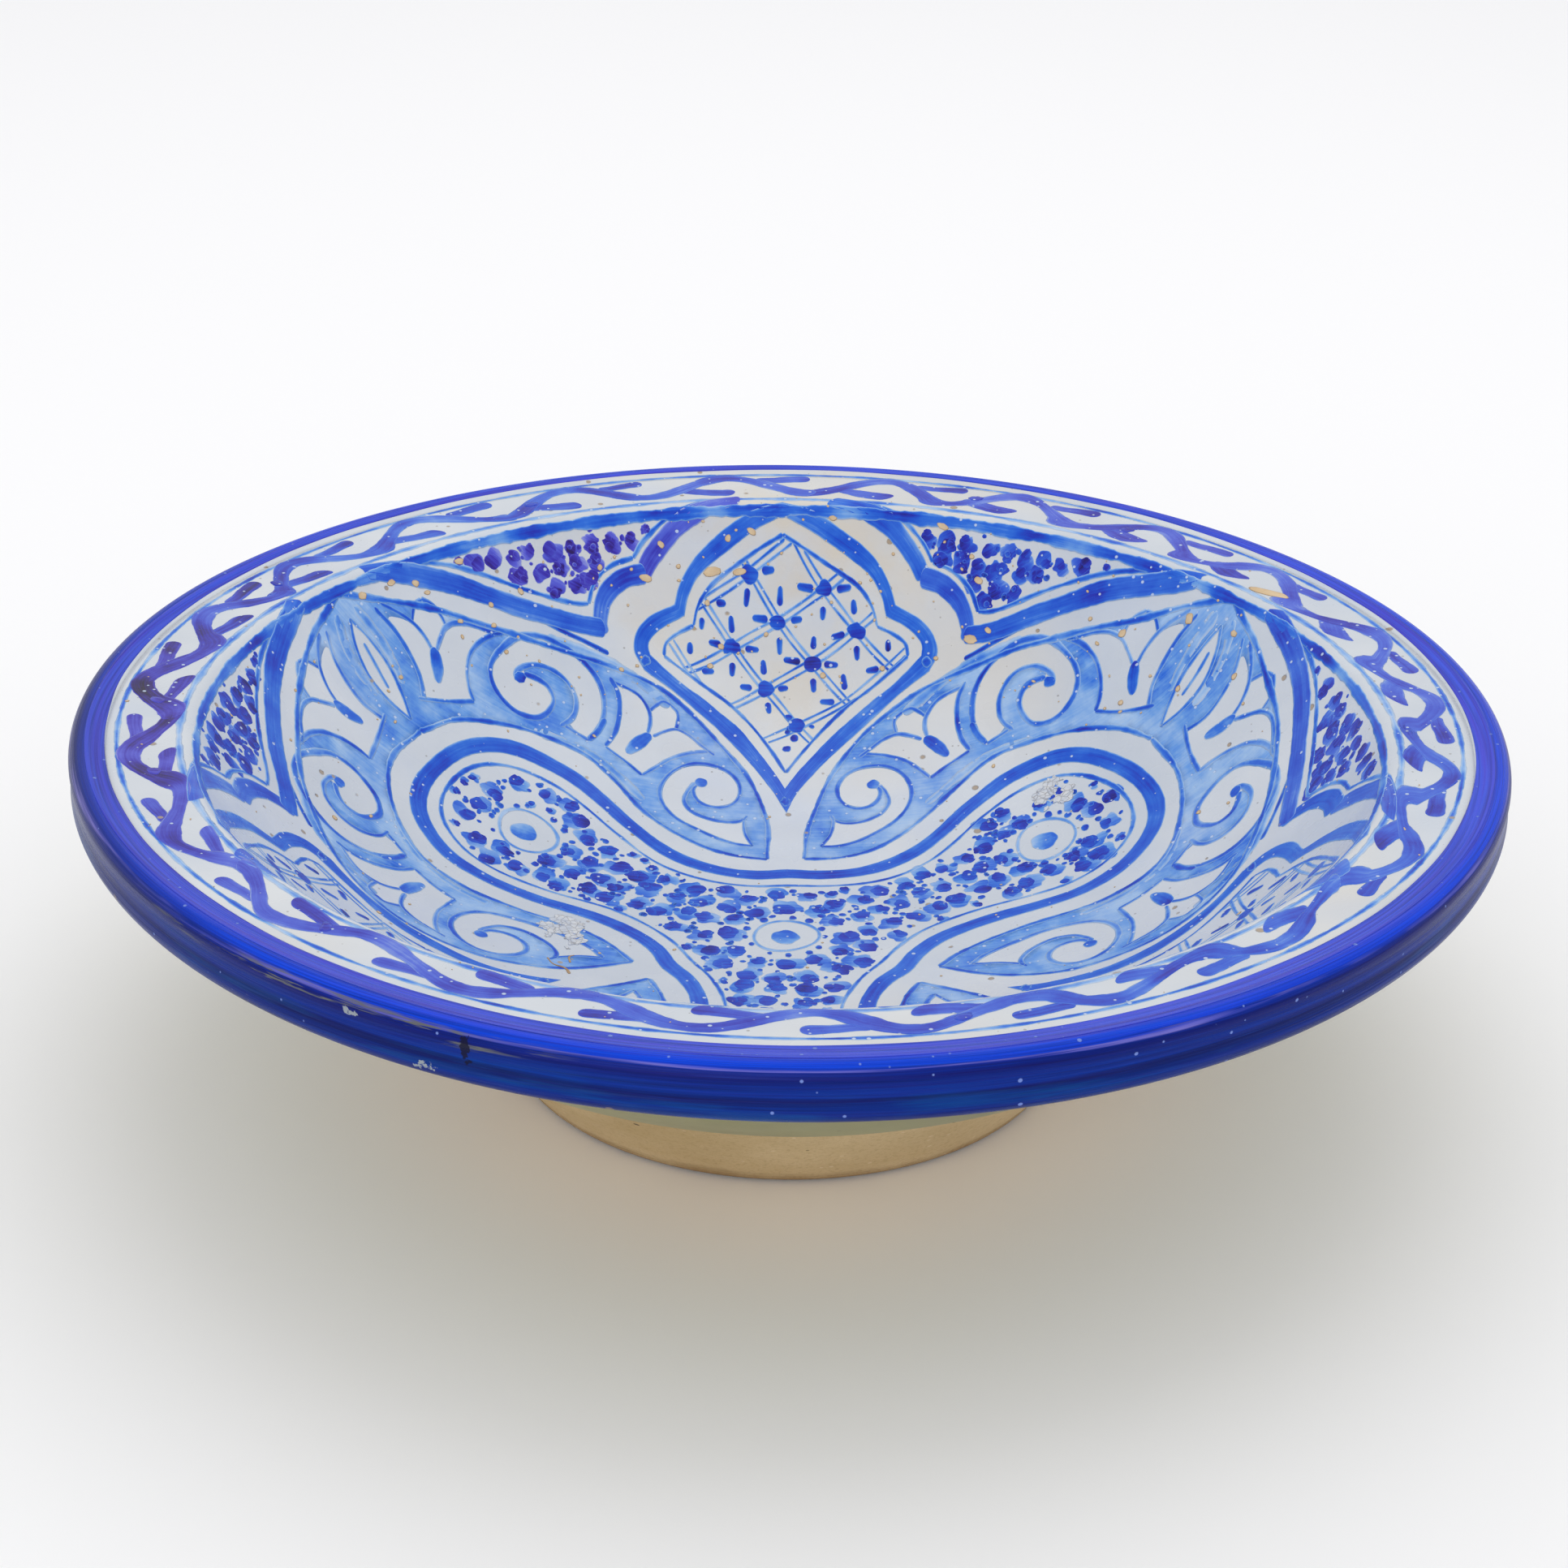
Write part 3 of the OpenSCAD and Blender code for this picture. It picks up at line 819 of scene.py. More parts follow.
# The thrown pieces

ground = white_glaze()
cobalt = ink("cobalt_brushwork", 0.18, 0.36)
wash = ink("cobalt_wash", 0.14, 0.5, 0.3)
lip_blue = lip_glaze()
clay = bare_clay()
pit_clay = bare_spot()


def shell(top, under):
    return np.concatenate([top, under[::-1]])


face = shell(face_profile(0, 105), face_profile(GLAZE_T, 45))
add_piece("face_glaze_shell", *lathe(face), ground, "white_glaze", ("face_glaze",))

lip = shell(lip_profile(0), lip_profile(GLAZE_T))
lip_verts, lip_faces = lathe(lip)
lip_run = along(lip_profile(0))
lip_run = np.concatenate([lip_run, lip_run[::-1]]) / lip_run[-1]
# White glaze shows on the lip inside the painted edge of the band.
lip_bare = np.where(lip[:, 0] < PLATE_R - 5.2, 1.0, 0.0) * (lip[:, 1] > CREST_Z - 3)
add_piece("lip_glaze_shell", lip_verts, lip_faces, lip_blue, "cobalt_lip_glaze", ("lip_glaze",),
          {"run": np.repeat(lip_run, SEGMENTS), "bare": np.repeat(lip_bare, SEGMENTS)})

under = shell(np.concatenate([wall_profile(GLAZE_T, GLAZE_END_S), bead_turn(0)[::-1]]),
              np.concatenate([wall_profile(0, GLAZE_END_S), bead_turn(GLAZE_T)[::-1]]))
under_verts, under_faces = lathe(under)
edge_r = wall_at(np.array(GLAZE_END_S), 0)[0]
around = np.arctan2(under_verts[:, 1], under_verts[:, 0])
run_up = 0.8 * np.sin(3 * around + 1) + 0.5 * np.sin(7 * around) + 0.4 * np.sin(13 * around + 2)
run_up *= np.clip((edge_r + 9 - np.hypot(under_verts[:, 0], under_verts[:, 1])) / 9, 0, 1)
uphill = well_angle(GLAZE_END_S)
level = math.cos(uphill)
climb = np.full_like(around, math.sin(uphill))
under_verts += run_up[:, None] * np.stack([np.cos(around) * level, np.sin(around) * level, climb], -1)
add_piece("underside_glaze_shell", under_verts, under_faces, underside_glaze(), "underside_glaze",
          ("underside_glaze",))

recess_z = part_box("bowl_body")[0].z / MM
body_top = face_profile(GLAZE_T, 90)
body_top = body_top[body_top[:, 0] < BEAD_IN_R]
wall = wall_profile(0, FOOT_IN_S, 80)
foot_top = wall_at(np.array(FOOT_TOP_S), 0)
recess = np.array([[0, recess_z], [48, recess_z], [53, recess_z + 0.7], [56.6, recess_z + 2.9]])
body = np.concatenate([body_top, [[body_top[-1, 0], wall[-1, 1]]], wall[::-1], recess[::-1]])
add_piece("bowl_body_clay", *lathe(body), clay, "bare_clay", ("bowl_body",))

down = np.linspace(0, 1, 26)
outer = foot_top + (np.array([FOOT_R, FOOT_ROUND_R]) - foot_top) * down[:, None]
outer[1:-1, 0] -= 0.9 * np.sin(np.pi * down[1:-1])
foot_edge = arc((FOOT_R - FOOT_ROUND_R, FOOT_ROUND_R), FOOT_ROUND_R, 0, -90, 6)
face_in = FOOT_R - FOOT_FACE_W - FOOT_ROUND_R
inner_edge = arc((face_in, FOOT_ROUND_R), FOOT_ROUND_R, -90, -180, 6)
inner = np.array([[face_in - 1.8, 6], [face_in - 2.6, 11], [face_in - 4.9, recess_z + 2.9]])
join = wall_at(np.linspace(FOOT_IN_S, FOOT_TOP_S, 16), 0)
foot = np.concatenate([outer, foot_edge, inner_edge, inner, join[:-1]])
add_piece("foot_ring_clay", *lathe(foot), clay, "bare_clay", ("foot_ring",))

bead_under = bead_turn(GLAZE_T)
bead_in = [[BEAD_IN_R, bead_under[-1, 1]], [BEAD_IN_R, flange_z(BEAD_IN_R, GLAZE_T)]]
bead = np.concatenate([lip_profile(GLAZE_T), bead_under[1:], bead_in])
add_piece("rim_bead_clay", *lathe(bead), clay, "bare_clay", ("rim_bead",))


# The star and the rings inside it

STAR_OUTER = [(0, 112.8), (15, 110.5), (26, 103), (31.5, 90), (30.5, 77), (27, 65), (24, 54), (23, 44),
              (24, 34), (27.5, 25.5), (32.5, 18.8)]
STAR_INNER = [(0, 108.6), (13, 106.4), (22, 100), (26.5, 89), (26, 77), (22.6, 65), (19.6, 54), (18.4, 44),
              (19.4, 34), (23, 24), (28.1, 16.3)]
LINE_OUTER = [(0, 106.2), (11, 104.2), (19, 98), (23, 88), (22.6, 77), (19.2, 65), (16, 54), (14.8, 44),
              (16, 33.5), (19.8, 23), (25, 14.4)]
LINE_INNER = [(0, 105.2), (10.6, 103.2), (18.2, 97.4), (22, 88), (21.6, 77), (18.2, 65), (15, 54), (13.8, 44),
              (15, 33.3), (18.9, 22.5), (24.1, 13.9)]
RING_Y = 82.5
RING_R = 8.4
DOT_R = 4.4


def round_star(half):
    lobe = np.concatenate([flipped(half)[:0:-1], half])
    return np.concatenate([turned(lobe, -turn)[:-1] for turn in (0, 120, 240)])


def strip_edges(outer, inner, closed=True):
    pair = curve(np.hstack([outer, inner]), closed)
    return pair[:, :2], pair[:, 2:]


def band(paint, outer, inner, **how):
    """A closed stroke between two edges that are given point by point."""
    reach = outer - inner
    reach = np.concatenate([reach, reach[:1]])
    paint.ribbon((outer + inner) / 2, np.linalg.norm(reach, axis=1), closed=True, reach=reach, **how)


star = Paint(SEED)
outer, inner = strip_edges(turned(round_star(STAR_OUTER), -60), turned(round_star(STAR_INNER), -60))
sway = shaky(star.rng, 0.25)
band(star, sway(outer), sway(inner), lift=0.09, density=0.68, streak=0.1, uneven=0.03)
star.piece("star_band_paint", cobalt, "cobalt_brushwork", ("star_band",))

thin = Paint(SEED + 1)
outer, inner = strip_edges(turned(round_star(LINE_OUTER), -60), turned(round_star(LINE_INNER), -60))
star_field = (outer + inner) / 2
band(thin, sway(outer * 1.001), sway(inner * 0.998), lift=0.06, density=0.6, streak=0.3, uneven=0.18)
thin.piece("star_line_paint", wash, "cobalt_wash", ("star_line",))

rings = Paint(SEED + 2)
centres = [np.zeros(2)] + [turned((0, RING_Y), turn) for turn in LOBE_TURNS]
for centre in centres:
    a = np.linspace(0, 2 * math.pi, 40, endpoint=False)
    size = RING_R * (1 + 0.05 * np.cos(2 * a + rings.rng.uniform(0, 6)) + 0.03 * np.cos(3 * a))
    ring = centre + np.stack([np.cos(a), np.sin(a)], -1) * size[:, None]
    rings.ribbon(curve(ring, True, 1.0), 1.1, 0.05, 0.34, closed=True, streak=0.3, uneven=0.2)
    at = centre + rings.rng.normal(0, 0.4, 2)
    rings.blot(at, DOT_R * 0.86, 0.06, (0.26, 0.78), rings.rng.uniform(0, 6.3), rough=0.08, points=36)
rings.piece("centre_rings_paint", wash, "cobalt_wash", ("centre_rings",))


def distance_to(p, loop):
    """Distance from a point to a closed line."""
    a = np.asarray(loop)
    b = np.roll(a, -1, axis=0)
    d = b - a
    t = np.clip(np.sum((p - a) * d, 1) / np.maximum(np.sum(d * d, 1), 1e-9), 0, 1)
    return np.min(np.linalg.norm(a + d * t[:, None] - p, axis=1))


def scattered(rng, loop, spacing, margin, avoid=()):
    """Uneven places inside a loop, in rows round the plate that are evenly spaced on the face itself."""
    loop = np.asarray(loop, float)
    low, high = loop.min(0), loop.max(0)
    r = 2.0
    row = 0
    places = []
    while r < WELL_R:
        count = max(1, int(2 * math.pi * r / spacing))
        for k in range(count):
            a = 2 * math.pi * (k + 0.5 * (row % 2) + rng.uniform(-0.14, 0.14)) / count
            away = r + rng.uniform(-0.14, 0.14) * spacing * steepness(r)
            p = away * towards(a)
            if (p < low).any() or (p > high).any() or not inside([p], [loop])[0]:
                continue
            if distance_to(p, loop) < margin * steepness(r):
                continue
            if not any(np.linalg.norm(p - c) < q for c, q in avoid):
                places.append(p)
        r += spacing * 0.87 * steepness(r)
        row += 1
    return places


def blotted(paint, loop, spacing, size, margin, avoid=(), dots=4, pale=0.42, dark=0.95, tone=0.0):
    """Dabs with a watery side and a dark one, and small dots round them."""
    rng = paint.rng
    spots = [(p, size * rng.uniform(0.85, 1.15)) for p in scattered(rng, loop, spacing, margin, avoid)]
    for p, r in spots:
        lean = rng.uniform(0, 6.3)
        heading = towards(lean)
        violet = tone + rng.uniform(0, 0.12)
        paint.blot(p - heading * r * 0.25, r, 0.045, (pale * 0.65, pale * 1.5), lean, rng.uniform(0.75, 1),
                   rng.uniform(0, 180), 0.24, 24, violet)
        for k in range(rng.integers(1, 4)):
            side = lean + (rng.uniform(-1.1, 1.1) if k else 0)
            at = p + towards(side) * r * (0.22 if k == 0 else 0.6) * steepness(np.hypot(*p))
            share = rng.uniform(0.64, 0.8) if k == 0 else rng.uniform(0.38, 0.52)
            paint.blot(at, r * share, 0.07 + 0.006 * k, (dark * 0.78, dark * 1.08), side,
                       rng.uniform(0.78, 1), rng.uniform(0, 180), 0.18, 20, violet, rim=0.72)
    for p, r in spots:
        for _ in range(rng.integers(dots) + 1 if dots else 0):
            side = rng.uniform(0, 6.3)
            reach = r * rng.uniform(1.2, 1.5) * (steepness(np.hypot(*p)) + 1) / 2
            at = p + towards(side) * reach
            if distance_to(at, loop) < 1.1 or not inside([at], [loop])[0]:
                continue
            if any(np.linalg.norm(at - c) < q - 1.5 for c, q in avoid):
                continue
            paint.blot(at, rng.uniform(0.6, 1.2), 0.085, (dark * 0.62, dark), side, rng.uniform(0.7, 1),
                       rng.uniform(0, 180), 0.12, 12, tone, rim=0.5)
    return [p for p, r in spots]


blots = Paint(SEED + 3)
keep_clear = [(centre, RING_R + 3.0) for centre in centres]
large = blotted(blots, star_field[::3], 7.9, 3.4, 2.9, keep_clear, 4)
blotted(blots, star_field[::3], 4.6, 1.7, 1.5, [(p, 5.6) for p in large] + keep_clear, 0)
for centre in centres:
    for k in range(12):
        side = k * 2 * math.pi / 12 + blots.rng.uniform(-0.2, 0.2)
        at = centre + towards(side) * (RING_R + blots.rng.uniform(1.6, 2.6))
        blots.blot(at, blots.rng.uniform(0.8, 1.5), 0.09, (0.6, 1.05), side, 0.85, 0, 0.14, 14)
blots.piece("star_blots", cobalt, "cobalt_brushwork")


# The petals round the star's lobes

PETAL_OUTER = [(0, 149.5), (20, 142), (40, 130), (55, 116), (65, 102), (71.5, 88), (72.5, 76), (69.5, 63),
               (62, 49), (50, 36), (34.5, 25.5)]
PETAL_INNER = [(0, 119.5), (14, 117), (26, 110), (34.5, 100), (39, 89), (37.5, 77), (33.5, 65), (30.5, 54),
               (29.5, 44), (31, 34), (34.5, 25.5)]
# White figures left in the wash. A corner ends each run of a smooth curve.
PALMETTE = [
    [(4.7, 124.5), (8, 129), (9.2, 135), (8.6, 141), (12.5, 140), (16.2, 137.8), (20, 139.6), (23.5, 139),
     (26.3, 136), (26.5, 132.5), (31, 131.6), (36, 128.6), (41, 124.8)],
    [(41, 124.8), (37.5, 125.8), (33, 126.2), (28, 125.3), (23.5, 122.8), (20.5, 119.5), (19.3, 117.8)],
    [(19.3, 117.8), (12, 120.8), (4.7, 124.5)],
]
VOLUTE = [
    [(39.2, 98.9), (38.7, 95.5), (39.3, 92.2)],
    [(39.3, 92.2), (44.5, 92.7), (50, 94.8), (54.5, 99), (56.2, 104), (55.2, 110.5), (51.5, 116.5), (46, 120),
     (38.5, 121.6), (33, 121), (29.7, 118.3), (28.6, 114.3), (29.6, 109.3), (32.5, 106), (36, 105),
     (40, 105.6), (42.2, 108), (41.8, 111), (39.8, 114.2)],
    [(39.8, 114.2), (41.5, 115.4), (45.2, 113.3), (47.8, 109.5), (48, 105), (45.7, 101.3), (42.8, 99.5),
     (39.2, 98.9)],
]
LOW_PALMETTE = [
    [(41.8, 86.8), (47, 87.5), (52.5, 89.8), (57, 93.3), (59, 95.8)],
    [(59, 95.8), (60.8, 91.5), (61, 88), (60, 84.5), (63, 83.7), (65.3, 82.3), (65.8, 80), (65, 77.3),
     (62, 76), (61, 74.8), (61.8, 71.5), (62, 68), (60.8, 65)],
    [(60.8, 65), (57, 68.8), (52, 71.8), (46.5, 73.2), (41.5, 74)],
    [(41.5, 74), (41.9, 80), (41.8, 86.8)],
]
LOW_VOLUTE = [
    [(37.3, 33.5), (35, 37.5), (33, 43), (32.2, 50), (33.2, 57), (36, 63), (40, 66.5), (45, 68), (50, 67.3),
     (54, 64.5), (56.5, 60), (56.7, 55.5), (54.5, 51.5), (51, 49.2), (47.5, 49), (44.5, 51), (43, 54),
     (43.5, 57), (45.5, 59.5), (48.5, 60.2)],
    [(48.5, 60.2), (45, 61), (41, 59.5), (38.5, 56.5), (38, 52), (39, 47.5), (42, 43.5), (44.5, 41.8)],
    [(44.5, 41.8), (41, 38.5), (38.8, 35), (37.3, 33.5)],
]
LEAF = [[(0, 144.5), (2.8, 140), (4.3, 134), (3, 128), (0, 122.5)],
        [(0, 122.5), (-3, 128), (-4.3, 134), (-2.8, 140), (0, 144.5)]]
# Brush lines of the figures: points and width
FIGURE_LINES = [
    ([(4.5, 124.5), (8, 129), (9, 134), (8.5, 139), (6, 144)], 1.5),
    ([(3, 125.5), (12, 120.8), (19.3, 117.6)], 1.2),
    ([(19.3, 117.6), (21, 120.5), (24, 123.3), (28.5, 125.4), (33, 126), (38, 125.4), (44, 123.3)], 1.4),
    ([(9, 144), (13, 141), (16.2, 137.6), (17.5, 134), (17.3, 130.5)], 1.3),
    ([(16.2, 137.8), (20, 139.6), (23.5, 139.4)], 1.0),
    ([(23.5, 139.5), (26.3, 137), (27, 134), (26.5, 132.4)], 1.2),
    ([(18.8, 130.3), (22.5, 131.5), (26.5, 132.4), (31, 131.6), (35.5, 129), (39.5, 125.5),
      (42, 123.6)], 1.2),
    ([(37.5, 99.5), (38.2, 96.5), (38.9, 93.8), (39.3, 91.8)], 1.3),
    ([(39.3, 91.8), (44.5, 92), (50, 93.8), (55, 98), (57, 103.5), (56, 110.5), (52, 117), (46, 120.8),
      (38.5, 121.8), (32.5, 121), (29, 118), (28, 113.8), (29, 109), (32.5, 105.2), (36.5, 104.4),
      (41, 105.5), (43, 108.5), (42.3, 111.5), (40, 114.5)], 1.7),
    ([(36.5, 99.8), (40.5, 99.2), (44, 100), (47.3, 102.5), (48.8, 106.5), (48, 110.5), (45, 114),
      (41.5, 115.6), (38.5, 116), (36.5, 115)], 1.5),
    ([(41.8, 87.3), (47, 87.8), (53, 90.5), (57.5, 94), (59.5, 98)], 1.5),
    ([(41.6, 87), (41.8, 80), (41, 74)], 1.2),
    ([(41, 74), (46, 73), (51.5, 71.5), (57, 68), (61, 64)], 1.4),
    ([(54.3, 81), (57.5, 82.3), (60, 84.5), (61.5, 88.5), (61, 92), (59.3, 96.5)], 1.2),
    ([(60, 84.3), (62.8, 83.6), (65.3, 82.4), (66, 80)], 1.1),
    ([(54.5, 79.3), (58, 77.5), (61, 75), (62, 71), (61.5, 66.5), (60.8, 62)], 1.2),
    ([(61, 75), (63.5, 75.8), (65.6, 77.3), (66, 80)], 1.1),
    ([(37.3, 32.7), (34.2, 37.5), (32, 43.5), (31.5, 50), (32.5, 57), (35.5, 63.3), (39.7, 67.3), (45, 68.7),
      (50.5, 67.9), (54.8, 65), (57.3, 60.3), (57.4, 55.3), (55, 51), (51.3, 48.6), (47.3, 48.3), (44, 50.2),
      (42.5, 54), (43.2, 57.5), (45.5, 60), (48, 60.6)], 1.5),
    ([(37.3, 32.7), (40, 38), (44, 41.6), (46.5, 42.2)], 1.2),
    ([(45.5, 41.7), (42, 43.2), (39, 47), (37.7, 51.5), (38, 56), (40.5, 59.8), (44.5, 61.2),
      (48.5, 61.3)], 1.4),
]
DROPS = [([(18.5, 131), (15.6, 128), (12.3, 125.3)], 3.7), ([(54.5, 80.2), (49.5, 81.2), (44.5, 81.6)], 3.9)]
DARK_TOUCHES = [([(40.2, 91.8), (44, 91.6), (48.5, 92.4)], 1.9),
                ([(55.5, 118.5), (61, 109), (64.5, 101.5)], 1.3)]
CURLS = [((38, 114.6), 1.9), ((49.5, 59.9), 1.9)]


def opened(p):
    """Moves a figure out from the petal's middle, fading to nothing at its tip."""
    p = np.asarray(p, float).copy()
    share = np.clip((p[:, 1] - 26) / 26, 0, 1)
    p[:, 0] += 4.3 * share * share * (3 - 2 * share)
    return p


def outline(runs):
    return np.concatenate([curve(run, step=1.3)[:-1] for run in runs])


def petal_shade(rng):
    f = rng.uniform(0, 6.3, 6)

    def shade(p):
        x, y = p[:, 0], p[:, 1]
        broad = np.sin(x / 9 + f[0]) * np.sin(y / 11 + f[1]) + 0.6 * np.sin((x + y) / 6 + f[2])
        fine = np.sin(x / 2.7 + f[3]) * np.sin(y / 3.1 + f[4])
        return 1 + 0.3 * broad + 0.12 * fine
    return shade


petals = Paint(SEED + 4)
lines = Paint(SEED + 5)
for turn in LOBE_TURNS:
    sway = shaky(lines.rng, 0.3)
    for side in (1, -1):
        def placed(p, side=side, turn=turn, sway=sway):
            return turned(sway(np.asarray(p, float) * (side, 1)), turn)
        for runs, width in FIGURE_LINES:
            path = placed(curve(opened(runs), step=0.9))
            lines.ribbon(path, width * lines.rng.uniform(0.88, 1.12), 0.062, lines.rng.uniform(0.48, 0.62),
                         tone=lines.rng.uniform(0, 0.05), streak=0.2, uneven=0.13, soft=0.45)
        for runs, width in DROPS:
            path = placed(curve(opened(runs), step=0.8))
            t = np.linspace(0, 1, len(path))
            swell = width * (0.45 + 0.55 * np.sin(np.pi * np.clip(t * 0.9 + 0.1, 0, 1)))
            lines.ribbon(path, swell, 0.075, 0.46 + 0.3 * (1 - t), soft=0.4, streak=0.15)
        for runs, width in DARK_TOUCHES:
            lines.ribbon(placed(curve(opened(runs), step=0.8)), width, 0.07, 0.74, soft=0.4, streak=0.2)
        for centre, r in CURLS:
            lines.blot(placed(opened([centre]))[0], r, 0.078, (0.5, 0.78), lines.rng.uniform(0, 6), rough=0.1)
        for half in (PETAL_OUTER, PETAL_INNER):
            lines.ribbon(placed(curve(half, step=1.0)), 1.5, 0.066, 0.6, streak=0.25, uneven=0.2, soft=0.45)
    for run in ([(0.3, 139.5), (0.2, 135), (-0.3, 130)], *LEAF):
        lines.ribbon(turned(sway(curve(run, step=0.9)), turn), 1.2, 0.07, 0.5, streak=0.2, uneven=0.15)
    half = np.concatenate([curve(PETAL_OUTER, step=1.3), curve(PETAL_INNER, step=1.3)[::-1][1:]])
    loop = np.concatenate([half[:-1], flipped(half)[::-1][:-1]])
    holes = [outline(LEAF)]
    for runs in (PALMETTE, VOLUTE, LOW_PALMETTE, LOW_VOLUTE):
        motif = opened(outline(runs))
        holes += [motif, flipped(motif)]
    petals.fill(turned(sway(loop), turn), [turned(sway(hole), turn) for hole in holes], 0.035, 0.31, 2.2,
                petal_shade(petals.rng))
    for side in (1, -1):
        for points, width in (([(3.5, 146), (6, 141), (6.6, 135), (5.4, 129.5)], 3.0),
                              ([(34, 102), (40, 91), (40.5, 80), (37.5, 68)], 2.6),
                              ([(57, 116), (66, 103), (69.5, 90), (69.6, 80)], 3.0)):
            path = turned(sway(curve(np.asarray(points) * (side, 1.0))), turn)
            petals.ribbon(path, width, 0.045, petals.rng.uniform(0.3, 0.4), soft=1.1, streak=0.3, uneven=0.2)
petals.piece("petal_wash_paint", wash, "cobalt_wash", ("petal_washes",))
lines.piece("petal_lines_paint", wash, "cobalt_wash")


# The pointed cartouches between the lobes, and the corners beside them

FRAME_OUTER = [
    [(0, 65), (3.8, 75), (9.8, 85), (18.5, 94.5), (25, 100), (33, 105), (43, 109.3)],
    [(43, 109.3), (46, 113.5), (45, 118.5), (41, 123.3), (34.3, 127.8)],
    [(34.3, 127.8), (32.5, 133), (28, 139), (21, 144.3), (11, 148.8), (0, 151.5)],
]
FRAME_INNER = [
    [(0, 76), (4.6, 85), (12.2, 95), (17.5, 100), (24.5, 105), (31.5, 108.3), (41, 113.8)],
    [(41, 113.8), (41.5, 116), (40.2, 118.6), (36.5, 122.3), (31, 125.8)],
    [(31, 125.8), (29.8, 130.3), (26.3, 135.6), (19, 140.8), (10, 145.2), (0, 148.5)],
]
FRAME_LINE = [
    [(0, 82.5), (4.2, 90), (11, 98.6), (18, 105), (27, 109.8), (37, 114.6)],
    [(37, 114.6), (36.4, 118), (33, 121.2), (28.2, 124)],
    [(28.2, 124), (26.6, 129), (22.5, 134), (16, 138.2), (8, 142), (0, 145)],
]
LATTICE_A = np.array([14, 7.3])
LATTICE_B = np.array([9.3, -10.5])
LATTICE_AT = np.array([-1.5, 127])
CORNER_BANDS = [
    [(14, 152.5), (24, 149.5), (33.5, 144), (41, 136.5), (44, 131.5)],
    [(43, 132), (49.5, 128.5), (54.5, 123), (56, 117.5), (55.2, 114)],
    [(54.5, 115.6), (61.8, 114), (76.2, 111.5), (92.4, 106.7), (108.6, 98.6), (123, 88)],
]
CORNER_LINES = [
    [(27, 150.5), (36.5, 145), (43.8, 138.8), (47, 134)],
    [(47, 134), (53, 130.3), (57.8, 125), (59.6, 119.6)],
    [(59.6, 119.6), (64, 118.2), (77, 115.6), (92, 110.9), (106, 103.4), (118, 94)],
]

frames = Paint(SEED + 6)
lattice = Paint(SEED + 7)
sprigs = Paint(SEED + 8)
corners = Paint(SEED + 9)
corner_lines = Paint(SEED + 10)
corner_blots = Paint(SEED + 11)


def corner_joined(outer_runs, inner_runs):
    edges = [strip_edges(a, b, False) for a, b in zip(outer_runs, inner_runs)]
    outer = np.concatenate([e[0][:-1] for e in edges] + [edges[-1][0][-1:]])
    inner = np.concatenate([e[1][:-1] for e in edges] + [edges[-1][1][-1:]])
    return (np.concatenate([outer, flipped(outer)[::-1][1:-1]]),
            np.concatenate([inner, flipped(inner)[::-1][1:-1]]))


def kept_runs(path, loop):
    """The stretches of a path that lie inside a loop."""
    keep = inside(path, [loop])
    start = None
    for i, good in enumerate([*keep, False]):
        if good and start is None:
            start = i
        elif not good and start is not None:
            if i - start > 3:
                yield path[start:i]
            start = None


